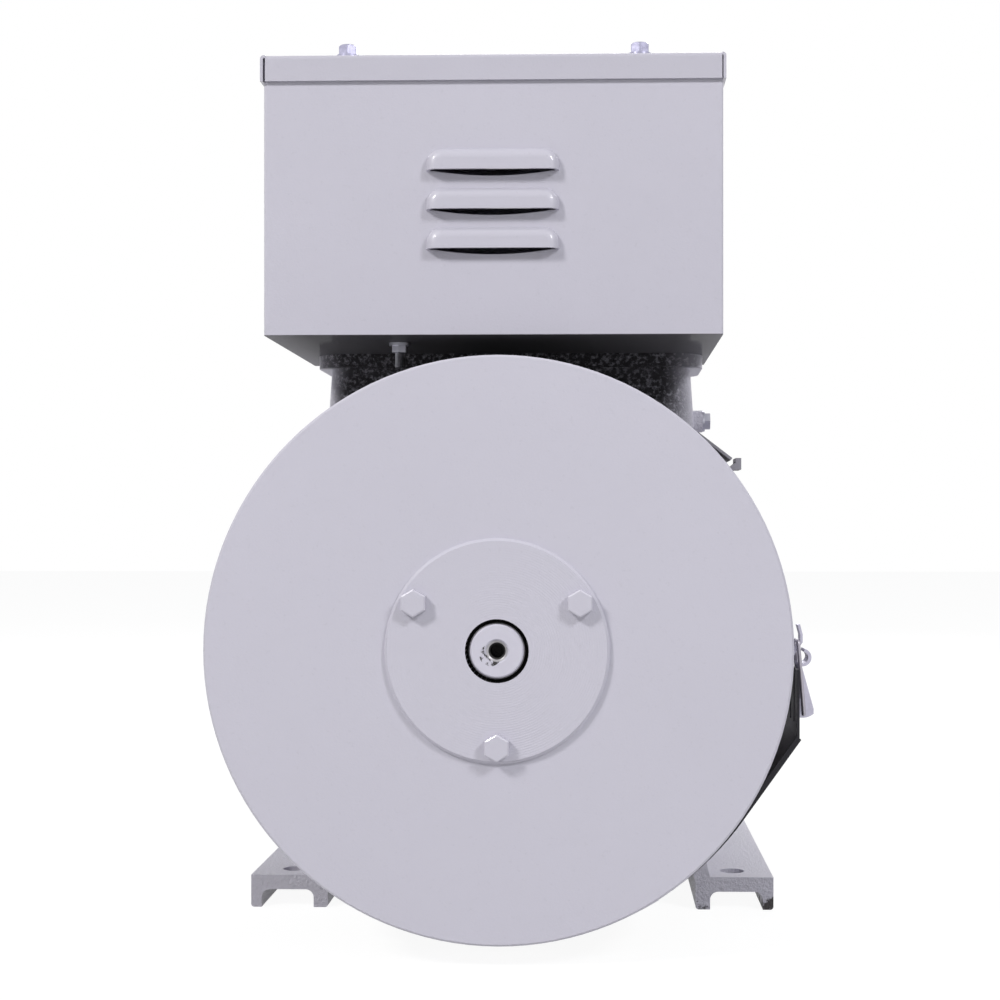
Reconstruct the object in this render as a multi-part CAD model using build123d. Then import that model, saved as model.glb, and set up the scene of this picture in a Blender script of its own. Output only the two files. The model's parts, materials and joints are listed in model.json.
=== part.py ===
from build123d import *
import math
import os

# A brush-type generator head with feet, a terminal box on top and a louvred guard with a draw latch.
# Millimetres. The shaft lies along Y, +Y is the drive end, +Z is up, and the floor is Z = 0.
# The origin is the centre of the four foot bolts.

# ---- main frame -------------------------------------------------------------------------------
SHAFT_HEIGHT = 170.0
FRAME_LENGTH = 250.0
BARREL_R = 150.0
BARREL_WALL = 9.0
FOOT_SPACING_X = 276.0
FOOT_HOLE_END = 20.0
FOOT_WIDTH = 48.0
FOOT_HEIGHT = 20.0
FOOT_WEB = 9.0
FOOT_OUTER_LEG = 6.5
FOOT_INNER_LEG = 9.0
FOOT_HOLE_R = 7.5
GUSSET_LEAN = 12.0
PEDESTAL_X = -2.0
PEDESTAL_WIDTH = 244.0
PEDESTAL_DEPTH = 84.0
PEDESTAL_INSET = 53.0
PEDESTAL_FLANGE = 8.0
PEDESTAL_CORNER_R = 20.0
NECK_INSET = 7.5
NECK_FLARE = 5.0
NECK_WALL = 9.0
NECK_PASSAGE = 44.0
NECK_PASSAGE_END = 30.0
EARTH_SCREW_HEIGHT = 134.0
EARTH_SCREW_OFFSET = 14.0

# ---- end brackets -----------------------------------------------------------------------------
REAR_REACH = 150.0
DISC_R = 157.5
DISC_PLATE = 12.0
RIM_DEPTH = 40.0
RIM_WALL = 9.0
BOSS_R = 60.0
BOSS_PROUD = 3.0
BOSS_CHAMFER = 1.5
HUB_BORE_R = 17.0
BRACKET_FLANGE = 12.0
ARM_COUNT = 4
ARM_ANGLE = 30.0
ARM_R = DISC_R
ARM_WALL = 8.0
DRIVE_REACH = 75.0
DRIVE_PLATE = 12.0
DRIVE_WALL_R = 140.0
DRIVE_WINDOWS = 8
DRIVE_WINDOW_ANGLE = 30.0
LUG_R = 11.0
LUG_LENGTH = 30.0
LUG_CIRCLE_R = 153.0
BRACKET_BOLT_R = 5.0
BRACKET_BOLT_AF = 16.0
BRACKET_BOLT_HEAD = 6.4
BRACKET_BOLT_LENGTH = 32.0
BRACKET_BOLT_DEPTH = 22.0
BOLT_CLEARANCE = 0.3
RIB_COUNT = 8
RIB_WIDTH = 6.0
RIB_DEPTH = 12.0
EDGE_BREAK = 1.2
PAD_WIDTH = 12.0
PAD_LENGTH = 20.0

# ---- bearings ---------------------------------------------------------------------------------
REAR_BEARING_BORE_R = 15.0
REAR_BEARING_R = 36.0
REAR_BEARING_WIDTH = 19.0
DRIVE_BEARING_BORE_R = 20.0
DRIVE_BEARING_R = 40.0
DRIVE_BEARING_WIDTH = 18.0
RACE_SHARE = 0.27
REAR_SHOULDER = 13.0
DRIVE_SHOULDER = 11.0
SHIELD = 1.0
SHIELD_INSET = 1.0
SHIELD_GAP = 0.3
WAVE_WASHER = 1.2
WAVE_GAP = 3.0
CAP_THICKNESS = 10.0
CAP_LIP = 2.0
CAP_BOLT_CIRCLE_R = 51.0
CAP_BOLT_COUNT = 3
CAP_BOLT_R = 4.0
CAP_BOLT_AF = 13.0
CAP_BOLT_HEAD = 5.3
RUNNING_GAP = 1.0

# ---- rotor and stator -------------------------------------------------------------------------
CORE_FRONT_GAP = 65.0
CORE_BACK_GAP = 35.0
STATOR_BORE_R = 105.0
SLOT_COUNT = 36
SLOT_WIDTH = 8.0
SLOT_DEPTH = 22.0
SLOT_LINER = 0.4
WINDING_REACH = 34.0
WINDING_STEP = 2.0
END_WINDING_CHAMFER = 6.0
END_WINDING_GAP = 1.0
AIR_GAP = 0.7
POLE_COUNT = 4
POLE_WIDTH = 56.0
POLE_SHOE_ANGLE = 66.0
POLE_SHOE_DEPTH = 16.0
ROTOR_HUB_R = 54.0
COIL_WIDTH = 13.0
COIL_GAP = 0.5
SHAFT_CORE_R = 27.0
SHAFT_REAR_R = 20.0
SHAFT_END_R = 19.0
SHAFT_END_LENGTH = 80.0
SHAFT_STEP = 5.0
SHAFT_CHAMFER = 1.5
CENTRE_HOLE_R = 3.85
CENTRE_CHAMFER_R = 6.5
CENTRE_HOLE_DEPTH = 18.0
KEY_WIDTH = 10.0
KEY_HEIGHT = 8.0
KEY_LENGTH = 63.0
KEY_SEAT = 5.0
KEY_END_GAP = 6.0
KEY_ANGLE = 22.5
FAN_R = 122.0
FAN_HUB_R = 34.0
FAN_CLEARANCE = 9.0
FAN_DEPTH = 24.0
FAN_PLATE = 3.0
FAN_BLADES = 11
FAN_BLADE_RAKE = -18.0
FAN_BLADE = 3.0
FAN_BLADE_INNER_R = 66.0
SLIP_HUB_R = 30.0
SLIP_HUB_GAP = 17.0
SLIP_HUB_LENGTH = 62.0
SLIP_RING_R = 36.0
SLIP_RING_WIDTH = 15.0
SLIP_RING_PITCH = 30.0

# ---- brush gear -------------------------------------------------------------------------------
BRUSH_WIDTH = 10.0
BRUSH_DEPTH = 12.0
BRUSH_LENGTH = 22.0
BRUSH_GAP = 0.3
BRUSH_TRAVEL = 5.0
HOLDER_WALL = 4.0
HOLDER_HEIGHT = 34.0
HOLDER_RING_GAP = 2.5
HOLDER_FIT = 0.15
SPRING_R = 3.6
SPRING_WIRE_R = 0.6
ROCKER_SPAN = 96.0
ROCKER_THICKNESS = 8.0
PILLAR_R = 5.0
PILLAR_FOOT = 8.0
YOKE_HEIGHT = 20.0

# ---- terminal box -----------------------------------------------------------------------------
BOX_SHIFT = -6.0
BOX_WIDTH = 261.0
BOX_DEPTH = 178.0
BOX_SETBACK = 60.0
BOX_FLOOR_HEIGHT = 175.0
BOX_SHEET = 2.0
BOX_HEIGHT = 155.4
BOX_FLANGE = 16.0
BOX_BEND_R = 1.5
LID_SHEET = 1.6
LID_SKIRT = 14.8
LID_CLEARANCE = 0.7
LID_SEAM = 0.8
GASKET = 2.0
LID_BOLT_SPACING = 167.0
LID_BOLT_INSET = 9.0
LID_BOLT_R = 3.0
LID_BOLT_AF = 10.0
LID_BOLT_HEAD = 5.8
LID_BOLT_LENGTH = 16.0
LID_WASHER_R = 6.8
LID_WASHER = 2.0
LOUVRE_COUNT = 3
LOUVRE_WIDTH = 75.4
LOUVRE_PITCH = 22.3
LOUVRE_HEIGHT = 12.4
LOUVRE_PROUD = 6.5
LOUVRE_END_R = 9.0
LOUVRE_DROP = 2.8
LOUVRE_TOP = 105.4
GROMMET_R = 24.0
GROMMET_BORE_R = 18.0
GROMMET_LIP = 3.0
GROMMET_HEIGHT = 45.0
FLOOR_BOLT_SPACING_X = 196.0
FLOOR_BOLT_SPACING_Y = 40.0
FLOOR_BOLT_R = 4.0
FLOOR_BOLT_AF = 13.0
FLOOR_BOLT_HEAD = 5.3
FLOOR_BOLT_LENGTH = 16.0
FLOOR_WASHER_R = 8.5
FLOOR_WASHER = 1.6
STUD_R = 2.5
STUD_AF = 8.0
STUD_HEAD = 3.5
STUD_DROP = 14.5
STUD_NUT = 4.0
STUD_WASHER_R = 6.0
STUD_INSET_X = 72.5
STUD_INSET_Y = 42.0
BOARD_WIDTH = 120.0
BOARD_DEPTH = 36.0
BOARD_THICKNESS = 8.0
BOARD_POST = 16.0
BOARD_POST_R = 6.0
BOARD_INSET_Y = 34.0
BOARD_OFFSET = 15.0
TERMINALS = 6
TERMINAL_PITCH = 18.0
TERMINAL_R = 3.0
TERMINAL_AF = 10.0
TERMINAL_NUT = 5.0
TERMINAL_RISE = 18.0
TERMINAL_SEAT = 3.0
RECTIFIER_SIDE = 28.0
RECTIFIER_HEIGHT = 10.0
RECTIFIER_INSET = 34.5
RECTIFIER_TAB = 10.0
RECTIFIER_TAB_WIDTH = 6.3
RECTIFIER_TAB_GAUGE = 0.8

# ---- guard and latch --------------------------------------------------------------------------
GUARD_SHEET = 1.5
GUARD_STANDOFF = 6.0
GUARD_DEPTH = 88.0
LOWER_GUARD_LEAN = -35.6
LOWER_GUARD_FLAT = 54.6
UPPER_GUARD_START = -4.0
UPPER_GUARD_END = 184.0
TOP_STRIP_END = 141.0
TONGUE_ANGLE = 39.0
TONGUE_RISE = 4.5
TAB_ANGLE = 37.53
TAB_REACH = 8.3
TAB_WIDTH = 20.0
TAB_HEIGHT = 6.4
TAB_INSET = 2.0
LOWER_GUARD_END = -172.0
GUARD_PADS = (-60.0, -90.0, -120.0, -168.0)
GUARD_SLOTS = 9
GUARD_SLOT_WIDTH = 26.0
GUARD_SLOT_HEIGHT = 5.0
GUARD_SLOT_ROWS = (0.28, 0.72)
LATCH_PLATE_TOP = -13.0
LATCH_PLATE_LAP = 12.0
LATCH_INSET = 22.0
PIVOT_PROUD = 3.3
PIVOT_Z = -31.4
CRANK = 7.6
CRANK_LEAN = 0.6
LEVER_GAUGE = 1.2
LEVER_HALF_WIDTH = 7.7
EAR_HALF_WIDTH = 6.2
PIVOT_PIN_R = 1.6
BAIL_WIRE_R = 1.1
BAIL_BEND_R = 1.8
BAIL_LEG_Y = 9.8
BAIL_LENGTH = 41.0
BAIL_LEAN = 4.6
KEEPER_HALF_WIDTH = 5.2
KEEPER_GAUGE = 1.4
KEEPER_HALF_HEIGHT = 9.0
LEVER_CURL_R = 5.0
LEVER_CURL_INNER_R = 3.2
LEVER_TAIL = 9.6
LEVER_NOSE = 6.2
EAR_R = 2.6
EAR_STRIP_TOP = 9.0
EAR_STRIP_BOTTOM = 15.0
RIVET_HEAD = 0.6
RIVET_FLANGE = 0.8
PIN_FIT = 0.06

# ---- worked out from the above ----------------------------------------------------------------
FRAME_FRONT = -FRAME_LENGTH / 2
FRAME_BACK = FRAME_LENGTH / 2
DISC_Y = FRAME_FRONT - REAR_REACH
BOSS_Y = DISC_Y - BOSS_PROUD
RIM_BACK_Y = DISC_Y + RIM_DEPTH
FOOT_SPACING_Y = FRAME_LENGTH - 2 * FOOT_HOLE_END
PEDESTAL_Y = FRAME_FRONT + PEDESTAL_INSET
DRIVE_FACE_Y = FRAME_BACK + DRIVE_REACH
BARREL_BORE_R = BARREL_R - BARREL_WALL
BOX_FLOOR_Z = SHAFT_HEIGHT + BOX_FLOOR_HEIGHT
BOX_TOP_Z = BOX_FLOOR_Z + BOX_HEIGHT
LID_TOP_Z = BOX_TOP_Z + GASKET + LID_SHEET
BOX_FRONT_Y = DISC_Y + BOX_SETBACK
BOX_BACK_Y = BOX_FRONT_Y + BOX_DEPTH
BOX_LEFT = BOX_SHIFT - BOX_WIDTH / 2
BOX_RIGHT = BOX_SHIFT + BOX_WIDTH / 2
BOX_INSIDE_Z = BOX_FLOOR_Z + BOX_SHEET
LID_BOLT_REACH = BOX_DEPTH / 2 - LID_BOLT_INSET
STUD_X = BOX_LEFT + STUD_INSET_X
STUD_Y = BOX_FRONT_Y + STUD_INSET_Y
BOX_MID_Y = (BOX_FRONT_Y + BOX_BACK_Y) / 2
PEDESTAL_TOP_Z = BOX_FLOOR_Z
REAR_SHOULDER_Y = BOSS_Y + REAR_SHOULDER
REAR_BEARING_Y = REAR_SHOULDER_Y + WAVE_GAP
REAR_BEARING_END_Y = REAR_BEARING_Y + REAR_BEARING_WIDTH
REAR_CAP_Y = REAR_BEARING_END_Y + CAP_LIP
DRIVE_SHOULDER_Y = DRIVE_FACE_Y - DRIVE_SHOULDER
DRIVE_BEARING_Y = DRIVE_SHOULDER_Y - DRIVE_BEARING_WIDTH
DRIVE_CAP_Y = DRIVE_BEARING_Y - CAP_LIP
SHAFT_STEP_Y = DRIVE_FACE_Y + SHAFT_STEP
SHAFT_TIP_Y = SHAFT_STEP_Y + SHAFT_END_LENGTH
CORE_START_Y = FRAME_FRONT + CORE_FRONT_GAP
CORE_END_Y = FRAME_BACK - CORE_BACK_GAP
CORE_LENGTH = CORE_END_Y - CORE_START_Y
CORE_MID_Y = (CORE_START_Y + CORE_END_Y) / 2
FAN_START_Y = CORE_END_Y + WINDING_REACH + FAN_CLEARANCE
SLIP_HUB_START_Y = REAR_CAP_Y + CAP_THICKNESS + SLIP_HUB_GAP
ROTOR_R = STATOR_BORE_R - AIR_GAP
LUG_ANGLES = [45.0 + 90.0 * n for n in range(4)]
CAP_ANGLES = [-90.0 + 360.0 / CAP_BOLT_COUNT * n for n in range(CAP_BOLT_COUNT)]
LOWER_GUARD_R = DISC_R + GUARD_STANDOFF
LOWER_OUTER_R = LOWER_GUARD_R + GUARD_SHEET
LATCH_PLATE_X = LOWER_OUTER_R
LATCH_Y = RIM_BACK_Y + LATCH_INSET
PIVOT_X = LATCH_PLATE_X + PIVOT_PROUD
PASSAGE_WIDTH = PEDESTAL_WIDTH - 2 * (NECK_INSET + NECK_WALL + NECK_PASSAGE_END)


# ---- helpers ----------------------------------------------------------------------------------
def turned(*points):
    """A ring or plug turned about the shaft line from (radius, y) corners."""
    return Pos(0, 0, SHAFT_HEIGHT) * revolve(make_face(Polyline(*points, close=True)), Axis.Y)


def ring(outer_r, inner_r, start_y, end_y):
    return turned((inner_r, start_y), (outer_r, start_y), (outer_r, end_y), (inner_r, end_y))


def along_y(section, start_y, end_y):
    """A section drawn in (x, z) and drawn out along the shaft."""
    placed = Plane.XZ.offset(-start_y) * section
    return extrude(placed, amount=end_y - start_y, dir=(0, 1, 0))


def at_angle(angle, radius, y=0.0):
    """A place round the shaft line: 0 degrees is +X and 90 degrees is up."""
    return Pos(0, y, SHAFT_HEIGHT) * Rot(0, -angle, 0) * Pos(radius, 0, 0)


def rod(radius, start_y, end_y):
    return Pos(0, (start_y + end_y) / 2, 0) * Rot(90, 0, 0) * Cylinder(radius, end_y - start_y)


def block(x0, x1, y0, y1, z0, z1):
    middle = Pos((x0 + x1) / 2, (y0 + y1) / 2, (z0 + z1) / 2)
    return middle * Box(x1 - x0, y1 - y0, z1 - z0)


def hex_bolt(shank_r, across_flats, head, length, washer_r=0.0, washer=0.0, crowned=False):
    """Head above z = 0, shank below it; corners lie along local y."""
    hexagon = RegularPolygon(across_flats / math.sqrt(3), 6, rotation=30)
    body = Pos(0, 0, washer) * extrude(hexagon, amount=head)
    if crowned:
        crown = Pos(0, 0, washer + head / 2) * Cylinder(across_flats / math.sqrt(3) - 0.2, head)
        body = body & chamfer(crown.edges().sort_by(Axis.Z)[-1:], 0.9)
    body += Pos(0, 0, (washer - length) / 2) * Cylinder(shank_r, length + washer)
    if washer:
        body += Pos(0, 0, washer / 2) * Cylinder(washer_r, washer)
    return body


def facing_rear(x, y, z):
    return Pos(x, y, z) * Rot(90, 0, 0)


def facing_drive(x, y, z):
    return Pos(x, y, z) * Rot(-90, 0, 0)


def polar_xz(angle, radius):
    turn = math.radians(angle)
    return radius * math.cos(turn), SHAFT_HEIGHT + radius * math.sin(turn)


def sheet_arc(radius, gauge, start, end):
    """The section of a rolled sheet between two angles round the shaft."""
    sweep = end - start
    outer = radius + gauge
    section = make_face([
        CenterArc((0, SHAFT_HEIGHT), radius, start, sweep),
        Line(polar_xz(end, radius), polar_xz(end, outer)),
        CenterArc((0, SHAFT_HEIGHT), outer, start, sweep),
        Line(polar_xz(start, radius), polar_xz(start, outer)),
    ])
    return section


def wedge_cutter(middle, angle, reach, start_y, end_y):
    """A sector-shaped block round the shaft line, for windows."""
    low = math.radians(middle - angle / 2)
    high = math.radians(middle + angle / 2)
    reach = reach / math.cos(math.radians(angle / 2))
    corner_a = (reach * math.cos(low), SHAFT_HEIGHT + reach * math.sin(low))
    corner_b = (reach * math.cos(high), SHAFT_HEIGHT + reach * math.sin(high))
    return along_y(make_face(Polyline((0, SHAFT_HEIGHT), corner_a, corner_b, close=True)), start_y, end_y)


parts = {}


def add(name, *solids):
    parts[name] = Compound(children=[s for item in solids for s in item.solids()])


# ---- frame casting: barrel, feet and pedestal ---------------------------------------------------
def foot_section(side):
    """An inverted channel; the inner leg carries on up to the barrel as a gusset."""
    outer = FOOT_SPACING_X / 2 + FOOT_WIDTH / 2
    inner = FOOT_SPACING_X / 2 - FOOT_WIDTH / 2
    web_z = FOOT_HEIGHT - FOOT_WEB
    channel = Pos((outer + inner) / 2, FOOT_HEIGHT / 2) * Rectangle(FOOT_WIDTH, FOOT_HEIGHT)
    channel = fillet(channel.vertices().group_by(Axis.Y)[0], 2.0)
    hollow_width = FOOT_WIDTH - FOOT_OUTER_LEG - FOOT_INNER_LEG
    hollow_x = inner + FOOT_INNER_LEG + hollow_width / 2
    hollow = Pos(hollow_x, web_z / 2 - 1.0) * Rectangle(hollow_width, web_z + 2.0)
    hollow = fillet(hollow.vertices().group_by(Axis.Y)[-1], 5.0)
    top_x = inner - GUSSET_LEAN
    gusset_top = SHAFT_HEIGHT - math.sqrt((BARREL_R - BARREL_WALL / 2) ** 2 - top_x ** 2)
    gusset = make_face(Polyline(
        (inner, web_z), (inner + FOOT_INNER_LEG, web_z),
        (inner + FOOT_INNER_LEG, FOOT_HEIGHT), (top_x + FOOT_INNER_LEG, gusset_top),
        (top_x, gusset_top), (inner, FOOT_HEIGHT - 4.0), close=True))
    section = channel - hollow + gusset
    return section if side > 0 else mirror(section, Plane.YZ)


def frame_casting():
    barrel = along_y(Pos(0, SHAFT_HEIGHT) * Circle(BARREL_R), FRAME_FRONT, FRAME_BACK)
    body = barrel
    for side in (-1, 1):
        body += along_y(foot_section(side), FRAME_FRONT, FRAME_BACK)
    for angle in LUG_ANGLES:
        for start, end in ((FRAME_FRONT, FRAME_FRONT + LUG_LENGTH), (FRAME_BACK - LUG_LENGTH, FRAME_BACK)):
            body += at_angle(angle, LUG_CIRCLE_R) * rod(LUG_R, start, end)
    # the pedestal neck widens downwards into the barrel and ends in a flange under the box
    neck_top = PEDESTAL_TOP_Z - PEDESTAL_FLANGE
    neck_bottom = SHAFT_HEIGHT + BARREL_R * 0.62
    top_width = PEDESTAL_WIDTH - 2 * NECK_INSET
    neck_depth = PEDESTAL_DEPTH - 2 * NECK_INSET
    place = Pos(PEDESTAL_X, PEDESTAL_Y, 0)
    upper = place * Pos(0, 0, neck_top) * RectangleRounded(top_width, neck_depth, PEDESTAL_CORNER_R - 4.0)
    lower = place * Pos(0, 0, neck_bottom) * RectangleRounded(
        top_width + 2 * NECK_FLARE, neck_depth + 2 * NECK_FLARE, PEDESTAL_CORNER_R)
    body += loft([lower, upper])
    flange = RectangleRounded(PEDESTAL_WIDTH, PEDESTAL_DEPTH, PEDESTAL_CORNER_R)
    body += place * Pos(0, 0, neck_top) * extrude(flange, amount=PEDESTAL_FLANGE)
    body -= along_y(Pos(0, SHAFT_HEIGHT) * Circle(BARREL_BORE_R), FRAME_FRONT, FRAME_BACK)
    # the leads rise through the hollow neck
    passage = RectangleRounded(PASSAGE_WIDTH, NECK_PASSAGE, PEDESTAL_CORNER_R / 2)
    body -= place * Pos(0, 0, SHAFT_HEIGHT + 40.0) * extrude(passage, amount=BOX_FLOOR_HEIGHT)
    for x in (-1, 1):
        for y in (-1, 1):
            hole = Pos(x * FOOT_SPACING_X / 2, y * FOOT_SPACING_Y / 2, FOOT_HEIGHT / 2)
            body -= hole * Cylinder(FOOT_HOLE_R, FOOT_HEIGHT + 4)
            bolt = Pos(PEDESTAL_X + x * FLOOR_BOLT_SPACING_X / 2, PEDESTAL_Y + y * FLOOR_BOLT_SPACING_Y / 2)
            body -= bolt * Pos(0, 0, PEDESTAL_TOP_Z - 9.0) * Cylinder(FLOOR_BOLT_R, 18.0)
    for angle in LUG_ANGLES:
        for end in (FRAME_FRONT, FRAME_BACK):
            body -= at_angle(angle, LUG_CIRCLE_R) * rod(
                BRACKET_BOLT_R, end - BRACKET_BOLT_DEPTH, end + BRACKET_BOLT_DEPTH)
    # tapped boss for the earth screw on the right of the neck
    earth = Pos(EARTH_X, EARTH_Y, EARTH_Z) * Rot(0, 90, 0)
    body += earth * Pos(0, 0, -7.0) * Cylinder(7.0, 14.0)
    body -= earth * Pos(0, 0, -6.0) * Cylinder(3.0, 12.0)
    return body


EARTH_X = PEDESTAL_X + PEDESTAL_WIDTH / 2 + 0.5
EARTH_Y = PEDESTAL_Y - EARTH_SCREW_OFFSET
EARTH_Z = SHAFT_HEIGHT + EARTH_SCREW_HEIGHT
add("frame_casting", frame_casting())
earth_place = Pos(EARTH_X, EARTH_Y, EARTH_Z) * Rot(0, 90, 0)
add("earth_screw", earth_place * hex_bolt(3.0, 10.0, 3.5, 10.0, 6.5, 1.4))


# ---- rear end bracket -------------------------------------------------------------------------
def rear_bracket():
    face = turned(
        (HUB_BORE_R, BOSS_Y), (BOSS_R - BOSS_CHAMFER, BOSS_Y), (BOSS_R, BOSS_Y + BOSS_CHAMFER),
        (BOSS_R, DISC_Y), (DISC_R - EDGE_BREAK, DISC_Y), (DISC_R, DISC_Y + EDGE_BREAK), (DISC_R, RIM_BACK_Y),
        (DISC_R - RIM_WALL, RIM_BACK_Y), (DISC_R - RIM_WALL, DISC_Y + DISC_PLATE),
        (BOSS_R, DISC_Y + DISC_PLATE), (BOSS_R, REAR_CAP_Y), (REAR_BEARING_R, REAR_CAP_Y),
        (REAR_BEARING_R, REAR_SHOULDER_Y), (HUB_BORE_R, REAR_SHOULDER_Y))
    arms = ring(ARM_R, ARM_R - ARM_WALL, RIM_BACK_Y - 6.0, FRAME_FRONT - BRACKET_FLANGE + 2.0)
    gap = 360.0 / ARM_COUNT - ARM_ANGLE
    for n in range(ARM_COUNT):
        arms -= wedge_cutter((n + 0.5) * 360.0 / ARM_COUNT, gap, ARM_R + 20, RIM_BACK_Y, FRAME_FRONT)
    body = face + arms
    body += ring(ARM_R, BARREL_BORE_R, FRAME_FRONT - BRACKET_FLANGE, FRAME_FRONT)
    plate_back = DISC_Y + DISC_PLATE
    rib = block(BOSS_R - 4.0, DISC_R - RIM_WALL / 2, plate_back - 2.0, plate_back + RIB_DEPTH, -RIB_WIDTH / 2, RIB_WIDTH / 2)
    for n in range(RIB_COUNT):
        body += Pos(0, 0, SHAFT_HEIGHT) * Rot(0, (n + 0.5) * 360.0 / RIB_COUNT, 0) * rib
    for angle in LUG_ANGLES:
        body += at_angle(angle, LUG_CIRCLE_R) * rod(LUG_R, FRAME_FRONT - BRACKET_FLANGE, FRAME_FRONT)
    for angle in LUG_ANGLES:
        body -= at_angle(angle, LUG_CIRCLE_R) * rod(
            BRACKET_BOLT_R + BOLT_CLEARANCE, FRAME_FRONT - LUG_LENGTH, FRAME_FRONT)
    for angle in CAP_ANGLES:
        body -= at_angle(angle, CAP_BOLT_CIRCLE_R) * rod(CAP_BOLT_R + BOLT_CLEARANCE, BOSS_Y - 1.0, REAR_CAP_Y)
    for side in (-1, 1):
        pillar = Pos(side * ROCKER_SPAN / 2, 0, ROCKER_Z)
        body -= pillar * rod(PILLAR_R / 2, DISC_Y + DISC_PLATE - PILLAR_FOOT - 1.0, DISC_Y + DISC_PLATE)
    # pads carry the lower guard clear of the rim
    for angle in GUARD_PADS:
        pad = at_angle(angle, LOWER_GUARD_R - PAD_WIDTH / 2, RIM_BACK_Y)
        body += pad * Box(PAD_WIDTH, PAD_LENGTH, PAD_WIDTH)
    body -= ring(LOWER_GUARD_R + PAD_WIDTH, LOWER_GUARD_R, DISC_Y, RIM_BACK_Y + PAD_LENGTH)
    # register that centres the bracket in the barrel
    body += ring(BARREL_BORE_R + 4.0, BARREL_BORE_R - 4.0, FRAME_FRONT - BRACKET_FLANGE, FRAME_FRONT)
    return body


HOLDER_START_Z = SHAFT_HEIGHT + SLIP_RING_R + HOLDER_RING_GAP
ROCKER_Z = HOLDER_START_Z + HOLDER_HEIGHT / 2
add("rear_end_bracket", rear_bracket())
lugs = [at_angle(a, LUG_CIRCLE_R, FRAME_FRONT - BRACKET_FLANGE) for a in LUG_ANGLES]
bracket_bolt = hex_bolt(BRACKET_BOLT_R, BRACKET_BOLT_AF, BRACKET_BOLT_HEAD, BRACKET_BOLT_LENGTH)
add("rear_bracket_bolts", *[Pos(*p.position) * Rot(90, 0, 0) * bracket_bolt for p in lugs])
cap_bolt = hex_bolt(
    CAP_BOLT_R, CAP_BOLT_AF, CAP_BOLT_HEAD, REAR_CAP_Y - BOSS_Y + CAP_THICKNESS, crowned=True)
cap_places = [at_angle(a, CAP_BOLT_CIRCLE_R, BOSS_Y).position for a in CAP_ANGLES]
add("rear_cap_bolts", *[Pos(*p) * Rot(90, 0, 0) * cap_bolt for p in cap_places])


# ---- bearings, inner caps and washer ------------------------------------------------------------
def sealed_bearing(bore_r, outer_r, start_y, width):
    """Inner ring, outer ring and the two shields that close the gap between them."""
    wall = (outer_r - bore_r) * RACE_SHARE
    end_y = start_y + width
    inner = ring(bore_r + wall, bore_r, start_y, end_y)
    outer = ring(outer_r, outer_r - wall, start_y, end_y)
    shields = []
    for near in (start_y + SHIELD_INSET, end_y - SHIELD_INSET - SHIELD):
        shields.append(ring(outer_r - wall, bore_r + wall + SHIELD_GAP, near, near + SHIELD))
    return inner, outer, shields


rear_inner, rear_outer, rear_shields = sealed_bearing(
    REAR_BEARING_BORE_R, REAR_BEARING_R, REAR_BEARING_Y, REAR_BEARING_WIDTH)
drive_inner, drive_outer, drive_shields = sealed_bearing(
    DRIVE_BEARING_BORE_R, DRIVE_BEARING_R, DRIVE_BEARING_Y, DRIVE_BEARING_WIDTH)
add("rear_bearing_inner_race", rear_inner)
add("rear_bearing_outer_race", rear_outer)
add("rear_bearing_shields", *rear_shields)
add("drive_bearing_inner_race", drive_inner)
add("drive_bearing_outer_race", drive_outer)
add("drive_bearing_shields", *drive_shields)


def bearing_cap(seat_y, outward, bearing_r, shaft_r, outer_r):
    """A flanged ring whose lip holds the outer race; outward is -1 for the rear end, 1 for the drive end."""
    lip_r = bearing_r - 0.2
    lip_y = seat_y + outward * CAP_LIP
    back_y = seat_y - outward * CAP_THICKNESS
    bore_r = shaft_r + RUNNING_GAP
    body = turned(
        (bore_r, back_y), (outer_r, back_y), (outer_r, seat_y), (lip_r, seat_y), (lip_r, lip_y),
        (lip_r - 6.0, lip_y), (lip_r - 6.0, seat_y - outward * 3.0), (bore_r, seat_y - outward * 3.0))
    for angle in CAP_ANGLES:
        low, high = sorted((seat_y, back_y))
        body -= at_angle(angle, CAP_BOLT_CIRCLE_R) * rod(CAP_BOLT_R, low - 1.0, high + 1.0)
    return body


add("rear_inner_cap", bearing_cap(REAR_CAP_Y, -1, REAR_BEARING_R, SHAFT_REAR_R, BOSS_R))
add("drive_inner_cap", bearing_cap(DRIVE_CAP_Y, 1, DRIVE_BEARING_R, SHAFT_CORE_R, BOSS_R))
wave_washer = ring(REAR_BEARING_R - 1.0, REAR_BEARING_R - 6.5, REAR_BEARING_Y - WAVE_WASHER, REAR_BEARING_Y)
for n in range(3):
    crest = at_angle(120.0 * n + 30.0, REAR_BEARING_R - 3.75)
    wave_washer += crest * rod(2.4, REAR_SHOULDER_Y, REAR_BEARING_Y)
add("preload_wave_washer", wave_washer)


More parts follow.
